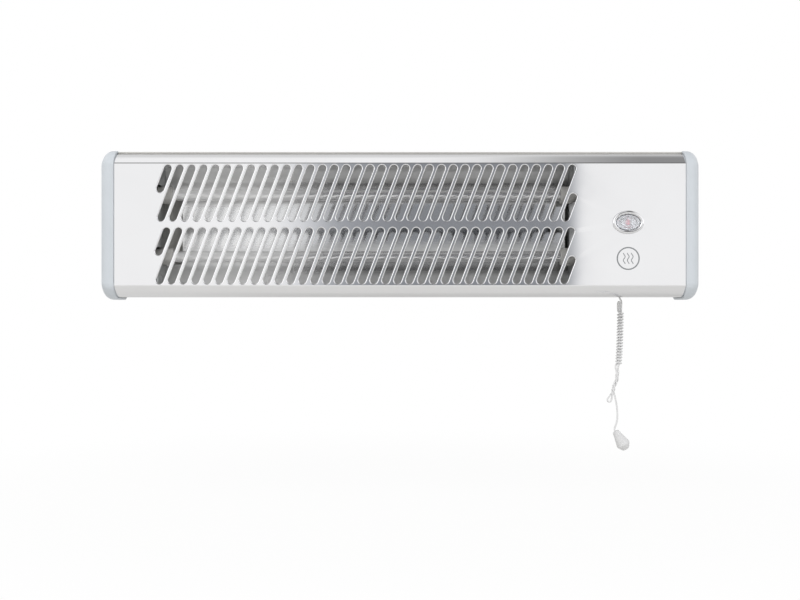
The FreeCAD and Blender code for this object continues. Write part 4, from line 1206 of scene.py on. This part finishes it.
# Wall mount: knobs with their screws as (x, radius, lobes), and the rivets of the lugs, in millimetres
PIVOT_Y = -26.0
KNOB = [
    (156.4, 2.2), (156.8, 2.5), (165.1, 2.5), (165.1, 6.1), (165.5, 6.5), (168.1, 6.5), (168.1, 9.0, 0.6),
    (168.5, 9.9, 0.75), (169.1, 10.25, 0.75), (175.4, 10.25, 0.75), (176.2, 9.8, 0.75), (176.6, 8.8, 0.6),
    (176.6, 5.2), (176.1, 4.8)
]
KNOB_SIDES = 96
RIVET_HEAD = [(2.4, 0.0), (2.3, 0.35), (1.9, 0.75), (1.2, 1.05), (0.4, 1.15)]
RIVETS = [(side * 154.5, -41.5, z) for side in (-1, 1) for z in (-10.0, 10.0)]
RIVET_SIDES = 24


def zinc_plate():
    made = bpy.data.materials.get("zinc plate")
    return made or finish("zinc plate", (0.55, 0.56, 0.56), (0.43, 0.44, 0.45), (0.25, 0.42), metallic=1.0)


def knobs_mesh():
    bm = bmesh.new()
    for side in (-1, 1):
        profile = [(side * x * MM, *[size * MM for size in sizes]) for x, *sizes in KNOB]
        lathe_x(bm, Vector((0, PIVOT_Y * MM, 0)), profile, KNOB_SIDES)
    outward(bm)
    return finished_mesh(bm, "lobed_knobs")


def rivets_tree():
    """Sets a rivet head on every given point."""
    sockets = {"Places": "Geometry", "Head": "Object", "Finish": "Material"}
    tree, given, result = new_group("rivets", "GeometryNodeTree", sockets, {"Rivets": "Geometry"})
    hand_out(tree, repeated(tree, given.outputs["Places"], given.outputs["Head"]), given, result)
    return tree


def rivets_mesh(material):
    """Domed rivet heads on the lugs, which face the wall."""
    rows = []
    for radius, rise in RIVET_HEAD:
        row = []
        for turn in ring_turns(RIVET_SIDES):
            row.append(Vector((radius * math.cos(turn), rise, radius * math.sin(turn))) * MM)
        rows.append(row)
    head = place_object("rivet_master", closed_mesh("rivet head", rows))
    places = bpy.data.meshes.new("rivet places")
    places.from_pydata([Vector(place) * MM for place in RIVETS], [], [])
    mesh = run_tree(rivets_tree(), places, {"Head": head, "Finish": material})
    bpy.data.objects.remove(head)
    return mesh


class HEATER_OT_wall_mount(bpy.types.Operator):
    """Wall bracket, lugs with rivets, and the knobs of the pivots"""

    bl_idname = "heater.wall_mount"
    bl_label = "Wall mount"

    def execute(self, context):
        zinc = zinc_plate()
        paint_nodes(zinc, "wall_bracket", "pivot_nuts", "hinge_lug_right", "hinge_lug_left")
        new_piece("lug_rivets", rivets_mesh(zinc), zinc, "heater", "plated_steel")
        knob = finish(
            "knob plastic", (0.02, 0.02, 0.022), (0.03, 0.03, 0.032), (0.4, 0.55), grain=(900.0, 0.1)
        )
        new_piece("lobed_knobs", knobs_mesh(), knob, "bracket", "knob_plastic", "tilt_screws")
        return {"FINISHED"}


# Casing with its seam over the panel's upper flange, and the inner pieces
# the seam's section as (depth, rise above the casing) in millimetres
SEAM = [
    (17.2, -0.45), (16.8, 0.1), (16.8, 0.95), (17.1, 1.4), (17.7, 1.55), (33.0, 1.55), (33.5, 1.3),
    (33.5, -0.2)
]
PAINT_ROUGH = (0.32, 0.45)
PAINT_GRAIN = (900.0, 0.06)


def seam_mesh():
    """A folded hem along the top, between the caps."""
    end = HALF_WIDTH - CAP_REACH * MM
    rows = [[at(x, depth * MM, (TOP + rise) * MM) for depth, rise in SEAM] for x in (-end, end)]
    return closed_mesh("upper_seam", rows, sharp=60)


class HEATER_OT_plain_pieces(bpy.types.Operator):
    """Casing, its seam and the inner pieces"""

    bl_idname = "heater.plain_pieces"
    bl_label = "Casing and inner pieces"

    def execute(self, context):
        colour = context.scene.heater_colours.casing
        casing = finish("casing paint", colour, shaded(colour, 0.96), PAINT_ROUGH, grain=PAINT_GRAIN)
        paint_nodes(casing, "rear_casing")
        # the seam takes the casing's paint darkened: painted shade beside the panel's band
        painted_shade_colour = shaded(colour, 0.85)
        seam = finish("seam paint", painted_shade_colour, shaded(colour, 0.8), PAINT_ROUGH, grain=PAINT_GRAIN)
        new_piece("upper_seam", seam_mesh(), seam, "heater", "casing_paint")
        paint_nodes(zinc_plate(), "tube_bracket_left", "tube_bracket_right", "return_spring")
        wire = finish("heating wire", (0.16, 0.15, 0.14), (0.1, 0.09, 0.09), (0.5, 0.65), metallic=1.0)
        paint_nodes(wire, "heating_coil_upper", "heating_coil_lower")
        inner = finish("inner plastic", (0.05, 0.05, 0.053), (0.04, 0.04, 0.042), (0.45, 0.6))
        paint_nodes(inner, "lamp_holder", "switch_housing", "switch_cover", "terminal_block")
        brass = finish("contact brass", (0.58, 0.40, 0.12), (0.48, 0.33, 0.1), (0.25, 0.4), metallic=1.0)
        paint_nodes(brass, "switch_blades")
        white = finish("white fittings", (0.72, 0.72, 0.72), (0.66, 0.66, 0.66), (0.35, 0.5))
        paint_nodes(white, "switch_drum", "cord_eyelet")
        rubber = finish("grommet rubber", (0.012, 0.012, 0.012), (0.02, 0.02, 0.02), (0.6, 0.75))
        paint_nodes(rubber, "cable_gland")
        sleeve = finish(
            "wire sleeve", (0.62, 0.58, 0.52), (0.5, 0.47, 0.42), (0.7, 0.85), grain=(1800.0, 0.3)
        )
        paint_nodes(sleeve, "inner_wires", "switch_cord")
        return {"FINISHED"}


# Stage: the studio as levels by direction, each a list of (place, level) stops
# a grey panel straight ahead, which the middle of the front mirrors
GREY_ACROSS = [
    (-0.3, 0), (-0.1, 0), (-0.075, 0.35), (-0.05, 0.85), (0.0, 1), (0.132, 1), (0.142, 0), (0.3, 0)
]
GREY_UP = [(-0.6, 0), (-0.3, 1), (0.3, 1), (0.6, 0)]
GREY_DEPTH = 0.72
GREY_TINT = (0.96, 1.0, 1.08, 1)
# a darker strip between wall and ceiling, which the creases mirror, with bright sides beyond it
NARROW = [(0, 1), (0.25, 1), (0.4, 0), (1, 0)]
STRIP_UP = [(-1, 0), (0.17, 0), (0.27, 1), (0.84, 1), (0.94, 0), (1, 0)]
STRIP_AHEAD = [(-1, 1), (-0.12, 1), (0.0, 0), (1, 0)]
STRIP_DEPTH = 0.7
SIDE_LIGHT = 1.4
SIDE_STEP = 0.4
# the ceiling grows darker behind the heater and towards its right end
BEHIND = [(-1, 0), (0.25, 0.0), (0.38, 0.05), (0.52, 0.22), (0.8, 0.3), (1, 0.5)]
RIGHT_ACROSS = [(-1, 0), (0.0, 0), (0.06, 0.12), (0.125, 0.5), (0.185, 0.7), (1, 0.7)]
RIGHT_UP = [(-1, 0), (0.3, 0), (0.9, 1), (1, 1)]
LEAST_LIGHT = 0.2
DIFFUSE_LIGHT = 0.62
LEAST_AHEAD = 0.02
FLOOR_DROP = 0.05
FLOOR_RADIUS = 4.0
FLOOR_COLOUR = (0.86, 0.855, 0.84, 1)
FLOOR_ROUGH = 0.9
# how white the floor is to the camera near the heater, and from where to where that grows
FLOOR_WHITE = 0.94
FLOOR_NEAR = 0.35
FLOOR_FAR = 0.75
# lamps as (name, place, size, power)
LAMPS = [("key", (-0.7, -1.4, 1.3), 1.2, 14), ("fill", (0.9, -1.5, 0.5), 1.0, 6)]
CAMERA_AWAY = 1.15
CAMERA_Z = -0.0681
CAMERA_LENS = 57.5
CAMERA_SENSOR = 36


def studio_world(scene):
    """White to the camera, and a bright studio with a few grey parts to what mirrors it."""
    scene.world = bpy.data.worlds.new("studio")
    scene.world.use_nodes = True
    tree = scene.world.node_tree

    def calc(kind, *values):
        return add_node(tree, "ShaderNodeMath", dict(enumerate(values)), operation=kind).outputs[0]

    def ramp(value, stops):
        """A value read off a line through (place, value) stops."""
        low = stops[0][0]
        span = stops[-1][0] - low
        share = calc("DIVIDE", calc("SUBTRACT", value, low), span)
        node = add_node(tree, "ShaderNodeFloatCurve", {"Value": share})
        curve = node.mapping.curves[0]
        curve.points[0].location = (0, stops[0][1])
        curve.points[1].location = (1, stops[-1][1])
        for place, height in stops[1:-1]:
            curve.points.new((place - low) / span, height)
        for point in curve.points:
            point.handle_type = "VECTOR"
        node.mapping.extend = "HORIZONTAL"
        node.mapping.update()
        return node.outputs[0]

    place = add_node(tree, "ShaderNodeTexCoord")
    x, y, z = add_node(tree, "ShaderNodeSeparateXYZ", {"Vector": place.outputs["Generated"]}).outputs
    ahead = calc("MAXIMUM", calc("MULTIPLY", y, -1.0), LEAST_AHEAD)
    across = ramp(calc("DIVIDE", x, ahead), GREY_ACROSS)
    grey_share = calc("MULTIPLY", across, ramp(calc("DIVIDE", z, ahead), GREY_UP))
    grey = calc("MULTIPLY", grey_share, GREY_DEPTH)
    narrow = ramp(calc("ABSOLUTE", x), NARROW)
    strip_share = calc("MULTIPLY", ramp(z, STRIP_UP), ramp(y, STRIP_AHEAD))
    strip_dark = calc("MULTIPLY", strip_share, calc("MULTIPLY", narrow, STRIP_DEPTH))
    right = calc("MULTIPLY", ramp(x, RIGHT_ACROSS), ramp(z, RIGHT_UP))
    ceiling = calc("MAXIMUM", ramp(y, BEHIND), right)
    dark = calc("ADD", calc("ADD", grey, strip_dark), ceiling)
    sides = calc("SUBTRACT", SIDE_LIGHT, calc("MULTIPLY", narrow, SIDE_STEP))
    studio = calc("MAXIMUM", calc("SUBTRACT", sides, dark), LEAST_LIGHT)
    light = add_node(tree, "ShaderNodeLightPath").outputs
    mirrored = light["Is Glossy Ray"]
    soft = calc("MULTIPLY", calc("SUBTRACT", 1.0, mirrored), DIFFUSE_LIGHT)
    direct = calc("MAXIMUM", light["Is Camera Ray"], light["Is Transmission Ray"])
    strength = calc("MAXIMUM", calc("ADD", calc("MULTIPLY", studio, mirrored), soft), direct)
    background = tree.nodes["Background"].inputs
    link(tree, strength, background["Strength"])
    tint = mixed(tree, calc("MULTIPLY", grey_share, mirrored), level(1), GREY_TINT)
    link(tree, tint, background["Color"])


def floor_finish():
    """Pale floor that keeps a little shadow near the heater and is white to the camera further off."""
    material, tree, shader = node_material("pale floor")
    shader.inputs["Base Color"].default_value = FLOOR_COLOUR
    shader.inputs["Roughness"].default_value = FLOOR_ROUGH
    place = add_node(tree, "ShaderNodeTexCoord")
    far = add_node(tree, "ShaderNodeVectorMath", {0: place.outputs["Object"]}, operation="LENGTH")
    inputs = {
        "Value": far.outputs["Value"],
        "From Min": FLOOR_NEAR,
        "From Max": FLOOR_FAR,
        "To Min": FLOOR_WHITE,
    }
    fade = add_node(tree, "ShaderNodeMapRange", inputs, interpolation_type="SMOOTHSTEP")
    light = add_node(tree, "ShaderNodeLightPath")
    inputs = {0: fade.outputs["Result"], 1: light.outputs["Is Camera Ray"]}
    share = add_node(tree, "ShaderNodeMath", inputs, operation="MULTIPLY")
    white = add_node(tree, "ShaderNodeEmission")
    inputs = {"Fac": share.outputs[0], 1: shader.outputs["BSDF"], 2: white.outputs["Emission"]}
    mix = add_node(tree, "ShaderNodeMixShader", inputs)
    link(tree, mix.outputs["Shader"], tree.nodes["Material Output"].inputs["Surface"])
    return material


def area_lamp(name, place, size, power):
    """A round lamp that shines at the heater and doesn't show in its mirrors."""
    data = bpy.data.lights.new(name, "AREA")
    data.shape = "DISK"
    data.size = size
    data.energy = power
    lamp = place_object(name, data)
    lamp.location = place
    lamp.rotation_euler = (-Vector(place)).to_track_quat("-Z", "Y").to_euler()
    lamp.visible_glossy = False


class HEATER_OT_stage(bpy.types.Operator):
    """Pale floor, soft studio light and the camera"""

    bl_idname = "heater.stage"
    bl_label = "Stage"

    def execute(self, context):
        scene = context.scene
        scene.view_settings.view_transform = "Standard"
        studio_world(scene)
        bm = bmesh.new()
        under = Matrix.Translation((0, 0, cad_box[0].z - FLOOR_DROP))
        bmesh.ops.create_circle(bm, cap_ends=True, segments=64, radius=FLOOR_RADIUS, matrix=under)
        mesh = plain_mesh(bm, "pale_floor")
        mesh.materials.append(floor_finish())
        floor = place_object("pale_floor", mesh)
        for lamp in LAMPS:
            area_lamp(*lamp)
        camera_data = bpy.data.cameras.new("camera")
        camera_data.sensor_width = CAMERA_SENSOR
        camera_data.lens = CAMERA_LENS
        camera = place_object("camera", camera_data)
        camera.location = (0, FRONT_Y - CAMERA_AWAY, CAMERA_Z)
        camera.rotation_euler = (math.pi / 2, 0, 0)
        scene.camera = camera
        return {"FINISHED"}


class HEATER_PT_panel(bpy.types.Panel):
    """The heater's pieces in the sidebar"""

    bl_idname = "HEATER_PT_panel"
    bl_label = "Heater"
    bl_space_type = "VIEW_3D"
    bl_region_type = "UI"
    bl_category = "Heater"

    def draw(self, context):
        for operator in OPERATORS:
            self.layout.operator(operator.bl_idname)
        for group in (context.scene.heater_sizes, context.scene.heater_colours):
            for name in group.__annotations__:
                self.layout.prop(group, name)


OPERATORS = (
    HEATER_OT_stage,
    HEATER_OT_pull_cord,
    HEATER_OT_front_panel,
    HEATER_OT_end_caps,
    HEATER_OT_heating_tubes,
    HEATER_OT_signal_lamp,
    HEATER_OT_printed_mark,
    HEATER_OT_wall_mount,
    HEATER_OT_plain_pieces,
)
CLASSES = (HeaterSizes, HeaterColours, *OPERATORS, HEATER_PT_panel)


def register():
    for cls in CLASSES:
        bpy.utils.register_class(cls)
    bpy.types.Scene.heater_sizes = PointerProperty(type=HeaterSizes)
    bpy.types.Scene.heater_colours = PointerProperty(type=HeaterColours)


def unregister():
    del bpy.types.Scene.heater_colours
    del bpy.types.Scene.heater_sizes
    for cls in reversed(CLASSES):
        bpy.utils.unregister_class(cls)


def main():
    register()
    bpy.ops.heater.stage()
    bpy.ops.heater.pull_cord()
    bpy.ops.heater.front_panel()
    bpy.ops.heater.end_caps()
    bpy.ops.heater.heating_tubes()
    bpy.ops.heater.signal_lamp()
    bpy.ops.heater.printed_mark()
    bpy.ops.heater.wall_mount()
    bpy.ops.heater.plain_pieces()


if __name__ == "__main__":
    main()
